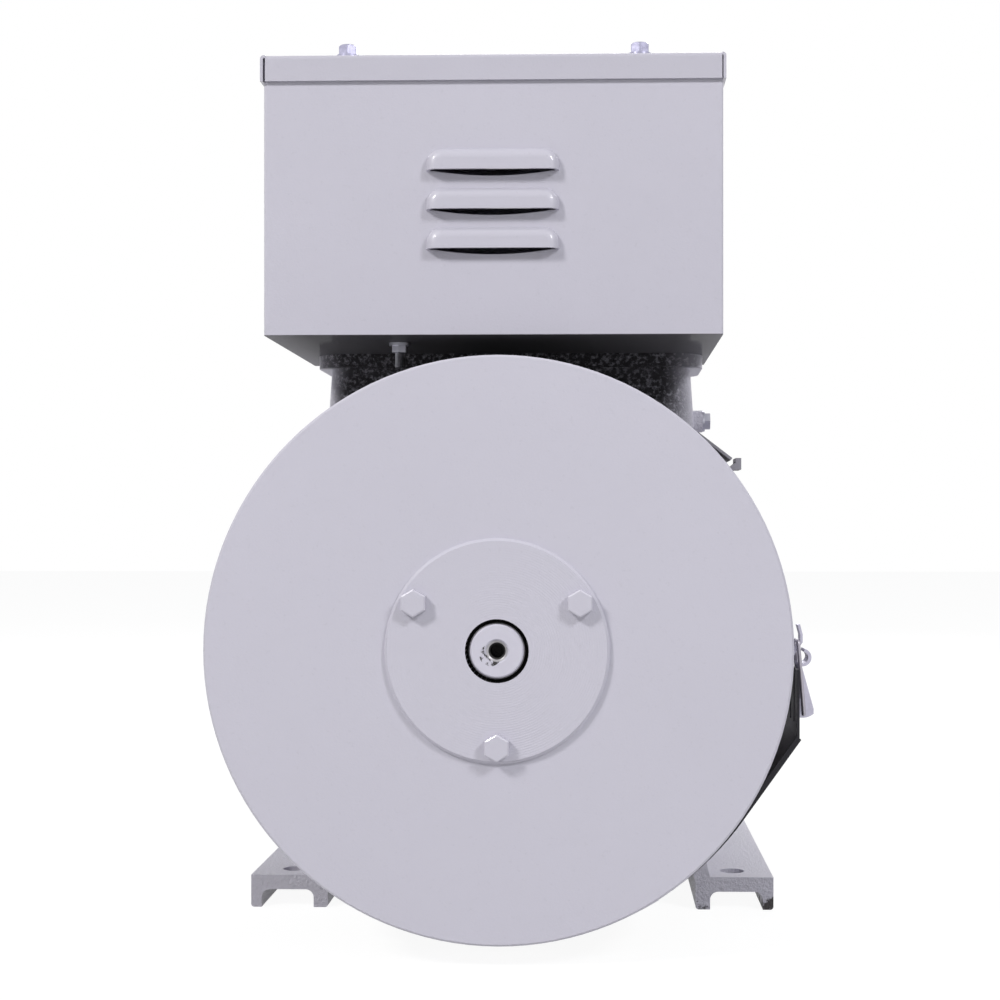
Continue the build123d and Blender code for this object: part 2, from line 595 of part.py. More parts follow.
# ---- drive end bracket --------------------------------------------------------------------------
def drive_bracket():
    flange_end = FRAME_BACK + BRACKET_FLANGE
    plate_y = DRIVE_FACE_Y - DRIVE_PLATE
    body = turned(
        (DRIVE_WALL_R - BARREL_WALL, FRAME_BACK), (ARM_R, FRAME_BACK), (ARM_R, flange_end),
        (DRIVE_WALL_R, flange_end), (DRIVE_WALL_R, plate_y - 4.0), (DRIVE_WALL_R - 12.0, DRIVE_FACE_Y - 4.0),
        (BOSS_R + 4.0, DRIVE_FACE_Y - 4.0), (BOSS_R, DRIVE_FACE_Y), (SHAFT_REAR_R + RUNNING_GAP, DRIVE_FACE_Y),
        (SHAFT_REAR_R + RUNNING_GAP, DRIVE_SHOULDER_Y), (DRIVE_BEARING_R, DRIVE_SHOULDER_Y),
        (DRIVE_BEARING_R, DRIVE_CAP_Y), (BOSS_R, DRIVE_CAP_Y), (BOSS_R, plate_y),
        (DRIVE_WALL_R - BARREL_WALL - 6.0, plate_y), (DRIVE_WALL_R - BARREL_WALL, plate_y - 8.0))
    for n in range(DRIVE_WINDOWS):
        middle = (n + 0.5) * 360.0 / DRIVE_WINDOWS
        window = wedge_cutter(middle, DRIVE_WINDOW_ANGLE, BARREL_R + 20, flange_end + 4.0, plate_y - 14.0)
        body -= window - ring(FAN_R, 0, flange_end, plate_y)
    for angle in LUG_ANGLES:
        body += at_angle(angle, LUG_CIRCLE_R) * rod(LUG_R, FRAME_BACK, flange_end)
        body -= at_angle(angle, LUG_CIRCLE_R) * rod(BRACKET_BOLT_R + 0.3, FRAME_BACK, flange_end + 30.0)
    for angle in CAP_ANGLES:
        body -= at_angle(angle, CAP_BOLT_CIRCLE_R) * rod(CAP_BOLT_R + 0.2, DRIVE_CAP_Y, DRIVE_FACE_Y + 1.0)
    return body


add("drive_end_bracket", drive_bracket())
drive_lugs = [at_angle(a, LUG_CIRCLE_R, FRAME_BACK + BRACKET_FLANGE) for a in LUG_ANGLES]
add("drive_bracket_bolts", *[Pos(*p.position) * Rot(-90, 0, 0) * bracket_bolt for p in drive_lugs])
drive_cap_bolt = hex_bolt(CAP_BOLT_R, CAP_BOLT_AF, CAP_BOLT_HEAD, DRIVE_FACE_Y - DRIVE_CAP_Y + CAP_THICKNESS)
drive_cap_places = [at_angle(a, CAP_BOLT_CIRCLE_R, DRIVE_FACE_Y).position for a in CAP_ANGLES]
add("drive_cap_bolts", *[Pos(*p) * Rot(-90, 0, 0) * drive_cap_bolt for p in drive_cap_places])


# ---- stator -------------------------------------------------------------------------------------
def stator_core():
    body = Circle(BARREL_BORE_R) - Circle(STATOR_BORE_R)
    slot = Pos(STATOR_BORE_R + SLOT_DEPTH / 2 - 2.0, 0) * Rectangle(SLOT_DEPTH + 4.0, SLOT_WIDTH)
    body -= PolarLocations(0, SLOT_COUNT) * slot
    return along_y(Pos(0, SHAFT_HEIGHT) * body, CORE_START_Y, CORE_END_Y)


def stator_winding():
    """Two varnished end windings and a bar in every slot between them."""
    inner_r = STATOR_BORE_R + WINDING_STEP
    outer_r = STATOR_BORE_R + SLOT_DEPTH - SLOT_LINER
    c = END_WINDING_CHAMFER
    pieces = []
    for face_y, outward in ((CORE_START_Y, -1), (CORE_END_Y, 1)):
        near = face_y + outward * END_WINDING_GAP
        far = face_y + outward * WINDING_REACH
        pieces.append(turned(
            (inner_r, near), (outer_r, near), (outer_r, far - outward * c), (outer_r - c, far),
            (inner_r + c, far), (inner_r, far - outward * c)))
    bar = Box(outer_r - inner_r - 2.0, CORE_LENGTH + 2 * END_WINDING_GAP, SLOT_WIDTH - 2 * SLOT_LINER)
    for n in range(SLOT_COUNT):
        pieces.append(at_angle(n * 360.0 / SLOT_COUNT, (inner_r + outer_r) / 2, CORE_MID_Y) * bar)
    return pieces


add("stator_core", stator_core())
add("stator_winding", *stator_winding())


# ---- rotor --------------------------------------------------------------------------------------
def rotor_core():
    half = POLE_SHOE_ANGLE / 2
    shoe_r = ROTOR_R - POLE_SHOE_DEPTH
    section = Circle(ROTOR_HUB_R)
    for n in range(POLE_COUNT):
        turn = n * 360.0 / POLE_COUNT
        pole = Pos(ROTOR_R / 2, 0) * Rectangle(ROTOR_R - 2.0, POLE_WIDTH)
        cap_reach = ROTOR_R * math.sin(math.radians(half))
        cap_box = Pos((shoe_r + ROTOR_R) / 2, 0) * Rectangle(ROTOR_R - shoe_r + 2.0, 2 * cap_reach)
        section += Rot(0, 0, turn) * (pole + (cap_box & Circle(ROTOR_R)))
    section = section & Circle(ROTOR_R)
    section -= Circle(SHAFT_CORE_R)
    return along_y(Pos(0, SHAFT_HEIGHT) * section, CORE_START_Y, CORE_END_Y)


def rotor_coils():
    inner_r = ROTOR_HUB_R + 4.0
    outer_r = ROTOR_R - POLE_SHOE_DEPTH - 2.0
    coils = []
    for n in range(POLE_COUNT):
        hole_w = POLE_WIDTH + 2 * COIL_GAP
        hole_l = CORE_LENGTH + 2 * COIL_GAP
        outline = RectangleRounded(hole_w + 2 * COIL_WIDTH, hole_l + 2 * COIL_WIDTH, COIL_WIDTH)
        coil = extrude(outline - Rectangle(hole_w, hole_l), amount=outer_r - inner_r)
        # local z is the pole's radial direction
        coils.append(Pos(0, CORE_MID_Y, SHAFT_HEIGHT) * Rot(0, n * 360.0 / POLE_COUNT, 0) * Pos(0, 0, inner_r) * coil)
    return coils


def shaft():
    tip = SHAFT_TIP_Y
    body = turned(
        (0, BOSS_Y), (REAR_BEARING_BORE_R - SHAFT_CHAMFER, BOSS_Y), (REAR_BEARING_BORE_R, BOSS_Y + SHAFT_CHAMFER),
        (REAR_BEARING_BORE_R, REAR_BEARING_END_Y), (SHAFT_REAR_R, REAR_BEARING_END_Y),
        (SHAFT_REAR_R, SLIP_HUB_START_Y + SLIP_HUB_LENGTH), (SHAFT_CORE_R, SLIP_HUB_START_Y + SLIP_HUB_LENGTH),
        (SHAFT_CORE_R, DRIVE_BEARING_Y), (DRIVE_BEARING_BORE_R, DRIVE_BEARING_Y),
        (DRIVE_BEARING_BORE_R, SHAFT_STEP_Y), (SHAFT_END_R, SHAFT_STEP_Y),
        (SHAFT_END_R, tip - SHAFT_CHAMFER), (SHAFT_END_R - SHAFT_CHAMFER, tip), (0, tip))
    for end, inward in ((BOSS_Y, 1), (tip, -1)):
        flare = CENTRE_CHAMFER_R - CENTRE_HOLE_R
        body -= turned(
            (0, end - inward), (CENTRE_CHAMFER_R, end - inward), (CENTRE_CHAMFER_R, end),
            (CENTRE_HOLE_R, end + inward * flare), (CENTRE_HOLE_R, end + inward * CENTRE_HOLE_DEPTH),
            (0, end + inward * CENTRE_HOLE_DEPTH))
    return body - key_shape()


def key_shape():
    """A round-ended key, which also cuts its own seat."""
    plan = SlotOverall(KEY_LENGTH, KEY_WIDTH, rotation=90)
    middle_y = SHAFT_TIP_Y - KEY_LENGTH / 2 - KEY_END_GAP
    place = Pos(0, middle_y, SHAFT_HEIGHT) * Rot(0, KEY_ANGLE, 0) * Pos(0, 0, SHAFT_END_R - KEY_SEAT)
    return place * extrude(plan, amount=KEY_HEIGHT)


def fan():
    back = FAN_START_Y + FAN_DEPTH
    body = ring(FAN_R, SHAFT_CORE_R, back - FAN_PLATE, back)
    body += ring(FAN_HUB_R, SHAFT_CORE_R, FAN_START_Y, back)
    length = FAN_R - FAN_BLADE_INNER_R - 1.0
    middle_r = FAN_BLADE_INNER_R + length / 2
    blade = Pos(middle_r, 0, 0) * Rot(0, FAN_BLADE_RAKE, 0) * Box(length, FAN_DEPTH - 1.0, FAN_BLADE)
    place = Pos(0, FAN_START_Y + (FAN_DEPTH - 1.0) / 2, SHAFT_HEIGHT)
    for n in range(FAN_BLADES):
        body += place * Rot(0, n * 360.0 / FAN_BLADES, 0) * blade
    return body & ring(FAN_R, 0, FAN_START_Y, back)


add("shaft", shaft())
add("shaft_key", key_shape())
add("rotor_core", rotor_core())
add("rotor_coils", *rotor_coils())
add("cooling_fan", fan())
hub_end = SLIP_HUB_START_Y + SLIP_HUB_LENGTH
add("slip_ring_hub", ring(SLIP_HUB_R, SHAFT_REAR_R, SLIP_HUB_START_Y, hub_end))
slip_mid = SLIP_HUB_START_Y + SLIP_HUB_LENGTH / 2
ring_centres = [slip_mid - SLIP_RING_PITCH / 2, slip_mid + SLIP_RING_PITCH / 2]
slip_ring = [ring(SLIP_RING_R, SLIP_HUB_R, y - SLIP_RING_WIDTH / 2, y + SLIP_RING_WIDTH / 2) for y in ring_centres]
add("slip_rings", *slip_ring)


# ---- brush gear ---------------------------------------------------------------------------------
def brush_rocker():
    """An insulating bridge with two open holders, carried on two pillars."""
    top = HOLDER_START_Z + HOLDER_HEIGHT
    half_x = BRUSH_WIDTH / 2 + HOLDER_WALL
    start = ring_centres[0] - BRUSH_DEPTH / 2 - HOLDER_WALL
    end = ring_centres[1] + BRUSH_DEPTH / 2 + HOLDER_WALL
    body = block(-half_x, half_x, start, end, HOLDER_START_Z, top)
    yoke = Pos(0, ROCKER_Z) * SlotOverall(ROCKER_SPAN + YOKE_HEIGHT, YOKE_HEIGHT)
    body += along_y(yoke, start, start + ROCKER_THICKNESS)
    for y in ring_centres:
        pocket_x = BRUSH_WIDTH / 2 + HOLDER_FIT
        pocket_y = BRUSH_DEPTH / 2 + HOLDER_FIT
        body -= block(-pocket_x, pocket_x, y - pocket_y, y + pocket_y, HOLDER_START_Z, top - HOLDER_WALL)
    return body


add("brush_rocker", brush_rocker())
rocker_start = ring_centres[0] - BRUSH_DEPTH / 2 - HOLDER_WALL
pillars = []
for side in (-1, 1):
    place = Pos(side * ROCKER_SPAN / 2, 0, ROCKER_Z)
    pillars.append(place * (rod(PILLAR_R, DISC_Y + DISC_PLATE, rocker_start)
                            + rod(PILLAR_R / 2, DISC_Y + DISC_PLATE - PILLAR_FOOT, DISC_Y + DISC_PLATE)))
add("rocker_pillars", *pillars)
brush_bottom = SHAFT_HEIGHT + SLIP_RING_R + BRUSH_GAP
spring_top = HOLDER_START_Z + HOLDER_HEIGHT - HOLDER_WALL
for n, y in enumerate(ring_centres):
    half = (BRUSH_WIDTH / 2, BRUSH_DEPTH / 2)
    carbon = block(-half[0], half[0], y - half[1], y + half[1], brush_bottom, brush_bottom + BRUSH_LENGTH)
    add(f"brush_{n + 1}", carbon)
    spring_start = brush_bottom + BRUSH_LENGTH
    coil_height = spring_top - spring_start
    coil = Pos(0, y, (spring_start + spring_top) / 2) * (
        Cylinder(SPRING_R, coil_height) - Cylinder(SPRING_R - 2 * SPRING_WIRE_R, coil_height))
    add(f"brush_spring_{n + 1}", coil)


# ---- terminal box -------------------------------------------------------------------------------
def louvre_bulge(shrink):
    """A pressed bulge with quarter-round ends: its flat side lies at y = 0 and its widest line at z = 0."""
    half = LOUVRE_WIDTH / 2 - shrink
    end_r = LOUVRE_END_R - shrink
    height = LOUVRE_HEIGHT - shrink
    proud = LOUVRE_PROUD - shrink
    outline = Rectangle(2 * half, 2 * height)
    outline = fillet(outline.vertices(), end_r)
    bulge = extrude(Plane.XZ * outline, amount=proud, dir=(0, -1, 0))
    front = bulge.faces().sort_by(Axis.Y)[0]
    return fillet(front.edges(), proud - 0.4)


def louvre_shapes():
    """The hood pressed out of the sheet and the hole behind it, with the lip line at z = 0."""
    above = block(-LOUVRE_WIDTH, LOUVRE_WIDTH, -2 * LOUVRE_PROUD, 2 * BOX_SHEET, 0.0, 2 * LOUVRE_HEIGHT)
    inner = louvre_bulge(BOX_SHEET)
    back = inner.faces().sort_by(Axis.Y)[-1]
    inner += extrude(back, amount=BOX_SHEET + 0.5, dir=(0, 1, 0))
    hood = (louvre_bulge(0.0) - inner) & above
    hole = inner & above
    half = LOUVRE_WIDTH / 2 - 2 * BOX_SHEET
    drop = make_face([ThreePointArc((-half, 0), (0, -LOUVRE_DROP), (half, 0)), Line((half, 0), (-half, 0))])
    hole += along_y(drop, -1.0, BOX_SHEET + 0.5)
    return hood, hole


def terminal_box():
    x0, x1 = BOX_LEFT, BOX_RIGHT
    body = block(x0, x1, BOX_FRONT_Y, BOX_BACK_Y, BOX_FLOOR_Z, BOX_TOP_Z)
    body = fillet(body.edges().filter_by(Axis.Z), BOX_BEND_R)
    t = BOX_SHEET
    body -= block(x0 + t, x1 - t, BOX_FRONT_Y + t, BOX_BACK_Y - t, BOX_FLOOR_Z + t, BOX_TOP_Z - t)
    f = BOX_FLANGE
    body -= block(x0 + f, x1 - f, BOX_FRONT_Y + f, BOX_BACK_Y - f, BOX_TOP_Z - 5.0, BOX_TOP_Z + 1.0)
    hood, hole = louvre_shapes()
    for n in range(LOUVRE_COUNT):
        lip_z = BOX_FLOOR_Z + LOUVRE_TOP - LOUVRE_HEIGHT - n * LOUVRE_PITCH
        place = Pos(BOX_SHIFT, BOX_FRONT_Y, lip_z)
        body = body - place * hole + place * hood
    # lead passage and fixing holes through the floor
    passage = RectangleRounded(PASSAGE_WIDTH, NECK_PASSAGE, PEDESTAL_CORNER_R / 2)
    body -= Pos(PEDESTAL_X, PEDESTAL_Y, BOX_FLOOR_Z - 1.0) * extrude(passage, amount=t + 2.0)
    for x in (-1, 1):
        for y in (-1, 1):
            bolt = Pos(PEDESTAL_X + x * FLOOR_BOLT_SPACING_X / 2, PEDESTAL_Y + y * FLOOR_BOLT_SPACING_Y / 2)
            body -= bolt * Pos(0, 0, BOX_FLOOR_Z) * Cylinder(FLOOR_BOLT_R + 0.3, 3 * t)
            for_lid = Pos(BOX_SHIFT + x * LID_BOLT_SPACING / 2, BOX_MID_Y + y * LID_BOLT_REACH, BOX_TOP_Z)
            body -= for_lid * Cylinder(LID_BOLT_R + 0.2, 3 * t)
    body -= Pos(STUD_X, STUD_Y, BOX_FLOOR_Z) * Cylinder(STUD_R + 0.2, 3 * t)
    entry = Pos(BOX_SHIFT, 0, BOX_FLOOR_Z + GROMMET_HEIGHT)
    body -= entry * rod(GROMMET_R, BOX_BACK_Y - 3 * t, BOX_BACK_Y + t)
    return body


add("terminal_box", terminal_box())

x0 = BOX_LEFT
x1 = BOX_RIGHT
seal = block(x0 + 1, x1 - 1, BOX_FRONT_Y + 1, BOX_BACK_Y - 1, BOX_TOP_Z, BOX_TOP_Z + GASKET)
seal -= block(x0 + BOX_FLANGE, x1 - BOX_FLANGE, BOX_FRONT_Y + BOX_FLANGE, BOX_BACK_Y - BOX_FLANGE,
              BOX_TOP_Z, BOX_TOP_Z + GASKET)
out = LID_CLEARANCE + LID_SHEET
lid = block(x0 - out, x1 + out, BOX_FRONT_Y - out, BOX_BACK_Y + out, LID_TOP_Z - LID_SKIRT, LID_TOP_Z)
lid = fillet(lid.edges().group_by(Axis.Z)[-1], 1.5)
gap = LID_CLEARANCE
lid -= block(x0 - gap, x1 + gap, BOX_FRONT_Y - gap, BOX_BACK_Y + gap, LID_TOP_Z - LID_SKIRT - 1, LID_TOP_Z - LID_SHEET)
lid_bolts = []
for x in (-1, 1):
    for y in (-1, 1):
        corner = Pos(BOX_SHIFT + x * (BOX_WIDTH / 2 + out), BOX_MID_Y + y * (BOX_DEPTH / 2 + out), LID_TOP_Z - LID_SKIRT)
        lid -= corner * Rot(0, 0, 45 * x * y) * Box(6.0, LID_SEAM, 2 * (LID_SKIRT - 3.0))
        place = Pos(BOX_SHIFT + x * LID_BOLT_SPACING / 2, BOX_MID_Y + y * LID_BOLT_REACH, LID_TOP_Z)
        lid -= place * Cylinder(LID_BOLT_R + 0.2, 6 * LID_SHEET)
        seal -= place * Cylinder(LID_BOLT_R + 0.2, 30.0)
        lid_bolts.append(place * hex_bolt(
            LID_BOLT_R, LID_BOLT_AF, LID_BOLT_HEAD, LID_BOLT_LENGTH, LID_WASHER_R, LID_WASHER, True))
add("box_lid", lid)
add("lid_gasket", seal)
add("lid_bolts", *lid_bolts)

# bolts through the floor into the pedestal
floor_bolt = hex_bolt(
    FLOOR_BOLT_R, FLOOR_BOLT_AF, FLOOR_BOLT_HEAD, FLOOR_BOLT_LENGTH, FLOOR_WASHER_R, FLOOR_WASHER)
floor_places = [Pos(PEDESTAL_X + x * FLOOR_BOLT_SPACING_X / 2, PEDESTAL_Y + y * FLOOR_BOLT_SPACING_Y / 2,
                    BOX_FLOOR_Z + BOX_SHEET) for x in (-1, 1) for y in (-1, 1)]
add("box_floor_bolts", *[p * floor_bolt for p in floor_places])

# a stud that hangs under the floor, held by a washer and nut below and a head above
stud_place = Pos(STUD_X, STUD_Y, BOX_FLOOR_Z)
stud_hexagon = RegularPolygon(STUD_AF / math.sqrt(3), 6, rotation=30)
stud_shank = Cylinder(STUD_R - 0.1, STUD_DROP + BOX_SHEET)
stud = Pos(0, 0, (BOX_SHEET - STUD_DROP) / 2) * stud_shank + Pos(0, 0, BOX_SHEET) * extrude(stud_hexagon, amount=STUD_HEAD)
nut = Pos(0, 0, -FLOOR_WASHER - STUD_NUT) * extrude(stud_hexagon - Circle(STUD_R - 0.1), amount=STUD_NUT)
stud_washer = Pos(0, 0, -FLOOR_WASHER) * extrude(Circle(STUD_WASHER_R) - Circle(STUD_R - 0.1), amount=FLOOR_WASHER)
add("earth_stud", stud_place * stud)
add("earth_stud_nut", stud_place * nut, stud_place * stud_washer)

# rubber sleeve in the cable entry
grommet_place = Pos(BOX_SHIFT, 0, BOX_FLOOR_Z + GROMMET_HEIGHT)
wall_in = BOX_BACK_Y - BOX_SHEET
grommet = rod(GROMMET_R, wall_in, BOX_BACK_Y)
grommet += rod(GROMMET_R + GROMMET_LIP, BOX_BACK_Y, BOX_BACK_Y + GROMMET_LIP)
grommet += rod(GROMMET_R + GROMMET_LIP, wall_in - GROMMET_LIP, wall_in)
grommet -= rod(GROMMET_BORE_R, wall_in - GROMMET_LIP, BOX_BACK_Y + GROMMET_LIP)
add("cable_grommet", grommet_place * grommet)


# ---- terminal board and rectifier ---------------------------------------------------------------
board_mid = BOX_SHIFT + 2 * BOARD_OFFSET
board_y = BOX_FRONT_Y + BOARD_INSET_Y
board_z = BOX_INSIDE_Z + BOARD_POST
board_top = board_z + BOARD_THICKNESS
board = block(board_mid - BOARD_WIDTH / 2, board_mid + BOARD_WIDTH / 2,
              board_y - BOARD_DEPTH / 2, board_y + BOARD_DEPTH / 2, board_z, board_top)
for side in (-1, 1):
    post_x = board_mid + side * (BOARD_WIDTH / 2 - BOARD_POST_R)
    board += Pos(post_x, board_y, BOX_INSIDE_Z + BOARD_POST / 2) * Cylinder(BOARD_POST_R, BOARD_POST)
terminal = Pos(0, 0, (TERMINAL_RISE - TERMINAL_SEAT) / 2) * Cylinder(TERMINAL_R, TERMINAL_RISE + TERMINAL_SEAT)
terminal += extrude(RegularPolygon(TERMINAL_AF / math.sqrt(3), 6), amount=TERMINAL_NUT)
terminals = []
for n in range(TERMINALS):
    place = Pos(board_mid + (n - (TERMINALS - 1) / 2) * TERMINAL_PITCH, board_y, board_top)
    board -= place * Cylinder(TERMINAL_R, 2 * TERMINAL_SEAT)
    terminals.append(place * terminal)
add("terminal_board", board)
add("terminal_studs", *terminals)

rectifier_place = Pos(BOX_LEFT + RECTIFIER_INSET, BOX_MID_Y - 10.0, BOX_INSIDE_Z)
rectifier = Pos(0, 0, RECTIFIER_HEIGHT / 2) * Box(RECTIFIER_SIDE, RECTIFIER_SIDE, RECTIFIER_HEIGHT)
rectifier = chamfer(rectifier.edges().filter_by(Axis.Z)[0], 3.0)
add("rectifier_bridge", rectifier_place * rectifier)
blade = Pos(0, 0, RECTIFIER_HEIGHT + RECTIFIER_TAB / 2) * Box(RECTIFIER_TAB_WIDTH, RECTIFIER_TAB_GAUGE, RECTIFIER_TAB)
corners = [Pos(x * 8.0, y * 8.0, 0) for x in (-1, 1) for y in (-1, 1)]
add("rectifier_tabs", *[rectifier_place * corner * blade for corner in corners])


# ---- guard --------------------------------------------------------------------------------------
GUARD_FRONT_Y = RIM_BACK_Y
GUARD_BACK_Y = GUARD_FRONT_Y + GUARD_DEPTH


def lean_point(distance, along, angle=LOWER_GUARD_LEAN):
    """A point (x, z) at a distance from the shaft line, slid along the tangent at an angle."""
    turn = math.radians(angle)
    x = distance * math.cos(turn) - along * math.sin(turn)
    return x, SHAFT_HEIGHT + distance * math.sin(turn) + along * math.cos(turn)


def at_height(x, z):
    return x, SHAFT_HEIGHT + z


def cooling_slots(radius, angles):
    """Two rows of slots through a rolled sheet, one in front of the other."""
    slots = []
    for angle in angles:
        for share in GUARD_SLOT_ROWS:
            y = GUARD_FRONT_Y + GUARD_DEPTH * share
            slots.append(at_angle(angle, radius, y) * Box(
                GUARD_STANDOFF, GUARD_SLOT_WIDTH, GUARD_SLOT_HEIGHT))
    return slots


def guard_upper():
    body = along_y(sheet_arc(DISC_R, GUARD_SHEET, UPPER_GUARD_START, UPPER_GUARD_END), GUARD_FRONT_Y, GUARD_BACK_Y)
    # a folded tab stands out of the sheet where the top strip ends
    g = GUARD_SHEET
    tab_x, tab_z = polar_xz(TAB_ANGLE, DISC_R + TAB_REACH)
    tab_y = GUARD_FRONT_Y + TAB_INSET
    stem = at_angle(TAB_ANGLE, DISC_R + TAB_REACH / 2, tab_y + TAB_WIDTH / 2) * Box(TAB_REACH, TAB_WIDTH, 2 * g)
    tip = block(tab_x - g, tab_x + g, tab_y, tab_y + TAB_WIDTH, tab_z - TAB_HEIGHT / 2, tab_z + TAB_HEIGHT / 2)
    tab = stem + tip - ring(DISC_R, 0, GUARD_FRONT_Y, GUARD_BACK_Y)
    return body + tab


def guard_top_strip():
    inner = DISC_R + GUARD_SHEET
    outer = inner + GUARD_SHEET
    # the free end runs straight on from the roll and so lifts off the guard as a tongue
    lift_angle = math.degrees(math.acos(inner / (inner + TONGUE_RISE)))
    start = TONGUE_ANGLE + lift_angle
    length = inner * math.tan(math.radians(lift_angle))
    strip = sheet_arc(inner, GUARD_SHEET, start, TOP_STRIP_END)
    tongue = make_face(Polyline(
        lean_point(inner, 0, start), lean_point(outer, 0, start),
        lean_point(outer, -length, start), lean_point(inner, -length, start), close=True))
    return along_y(strip + tongue, GUARD_FRONT_Y, GUARD_BACK_Y)


def guard_lower():
    rolled = sheet_arc(LOWER_GUARD_R, GUARD_SHEET, LOWER_GUARD_LEAN, LOWER_GUARD_END)
    flat = make_face(Polyline(
        lean_point(LOWER_GUARD_R, 0), lean_point(LOWER_OUTER_R, 0),
        lean_point(LOWER_OUTER_R, LOWER_GUARD_FLAT), lean_point(LOWER_GUARD_R, LOWER_GUARD_FLAT), close=True))
    body = along_y(rolled + flat, GUARD_FRONT_Y, GUARD_BACK_Y)
    step = (LOWER_GUARD_END - LOWER_GUARD_LEAN) / (GUARD_SLOTS + 1)
    angles = [LOWER_GUARD_LEAN + step * (n + 1) for n in range(GUARD_SLOTS)]
    for slot in cooling_slots(LOWER_GUARD_R, angles):
        body -= slot
    return body


def latch_plate():
    """Vertical plate under the latch; its foot bends in to lie against the inside of the lower guard."""
    turn = math.radians(LOWER_GUARD_LEAN)
    outer_x = LATCH_PLATE_X
    inner_x = outer_x - GUARD_SHEET
    outer_corner = (LOWER_GUARD_R - outer_x * math.cos(turn)) / math.sin(turn)
    inner_corner = (LOWER_GUARD_R - GUARD_SHEET - inner_x * math.cos(turn)) / math.sin(turn)
    section = make_face(Polyline(
        at_height(inner_x, LATCH_PLATE_TOP), at_height(outer_x, LATCH_PLATE_TOP),
        at_height(outer_x, outer_corner), lean_point(LOWER_GUARD_R, LATCH_PLATE_LAP),
        lean_point(LOWER_GUARD_R - GUARD_SHEET, LATCH_PLATE_LAP), at_height(inner_x, inner_corner), close=True))
    body = along_y(section, GUARD_FRONT_Y, GUARD_BACK_Y)
    # open slots let the lever cheeks and the bail legs swing through
    for side in (-1, 1):
        low, high = sorted((side * (EAR_HALF_WIDTH + 0.1), side * (BAIL_LEG_Y + BAIL_WIRE_R + 0.5)))
        body -= block(inner_x - 2.0, outer_x + 2.0, LATCH_Y + low, LATCH_Y + high,
                      SHAFT_HEIGHT + PIVOT_Z - CRANK - 4.0, SHAFT_HEIGHT + LATCH_PLATE_TOP + 1.0)
    return body


add("guard_upper", guard_upper())
add("guard_top_strip", guard_top_strip())
add("guard_lower", guard_lower())
add("latch_plate", latch_plate())


# ---- draw latch -----------------------------------------------------------------------------------
def pair_of_plates(section, inner_y, outer_y):
    """The same flat profile on both sides of the latch's middle plane."""
    near = along_y(section, LATCH_Y - outer_y, LATCH_Y - inner_y)
    far = along_y(section, LATCH_Y + inner_y, LATCH_Y + outer_y)
    return near + far


def latch_rod(x, z, radius, inner_y, outer_y):
    place = Pos(x, 0, SHAFT_HEIGHT + z)
    return place * (rod(radius, LATCH_Y - outer_y, LATCH_Y - inner_y)
                    + rod(radius, LATCH_Y + inner_y, LATCH_Y + outer_y))


PIN_X = PIVOT_X + CRANK_LEAN
PIN_Z = PIVOT_Z - CRANK
BAIL_TOP_X = PIN_X - BAIL_LENGTH * math.sin(math.radians(BAIL_LEAN))
BAIL_TOP_Z = PIN_Z + BAIL_LENGTH * math.cos(math.radians(BAIL_LEAN))
LEVER_CURL_Z = PIVOT_Z + 24.2


def latch_base():
    strip = block(LATCH_PLATE_X, LATCH_PLATE_X + LEVER_GAUGE, LATCH_Y - EAR_HALF_WIDTH, LATCH_Y + EAR_HALF_WIDTH,
                  SHAFT_HEIGHT + PIVOT_Z - EAR_STRIP_BOTTOM, SHAFT_HEIGHT + PIVOT_Z + EAR_STRIP_TOP)
    ear = Pos((LATCH_PLATE_X + PIVOT_X) / 2, SHAFT_HEIGHT + PIVOT_Z) * Rectangle(
        PIVOT_X - LATCH_PLATE_X, 2 * EAR_R)
    ear += Pos(PIVOT_X, SHAFT_HEIGHT + PIVOT_Z) * Circle(EAR_R)
    body = strip + pair_of_plates(ear, EAR_HALF_WIDTH - LEVER_GAUGE, EAR_HALF_WIDTH)
    return body - latch_rod(PIVOT_X, PIVOT_Z, PIVOT_PIN_R, EAR_HALF_WIDTH - LEVER_GAUGE - 1, EAR_HALF_WIDTH + 1)


def pivot_rivets():
    head_y = LEVER_HALF_WIDTH + PIN_FIT
    rivet = latch_rod(PIVOT_X, PIVOT_Z, PIVOT_PIN_R, EAR_HALF_WIDTH - LEVER_GAUGE, head_y + RIVET_HEAD)
    return rivet + latch_rod(PIVOT_X, PIVOT_Z, PIVOT_PIN_R + RIVET_FLANGE, head_y, head_y + RIVET_HEAD)


def lever_cheek():
    near_x = LATCH_PLATE_X + 0.5
    top_z = LEVER_CURL_Z - LEVER_CURL_R + 0.6
    tail = Pos(PIVOT_X, SHAFT_HEIGHT + PIVOT_Z) * Circle(LEVER_TAIL)
    wedge = make_face(Polyline(
        at_height(near_x, top_z + 2.0), at_height(PIVOT_X - 0.5, top_z), at_height(PIVOT_X + LEVER_NOSE, PIVOT_Z - 4.5),
        at_height(PIVOT_X + LEVER_NOSE, PIVOT_Z - LEVER_TAIL), at_height(near_x, PIVOT_Z - LEVER_TAIL), close=True))
    below = Pos(PIVOT_X, SHAFT_HEIGHT + PIVOT_Z - 10.0) * Rectangle(40.0, 20.0)
    return (wedge - below) + (wedge & tail)


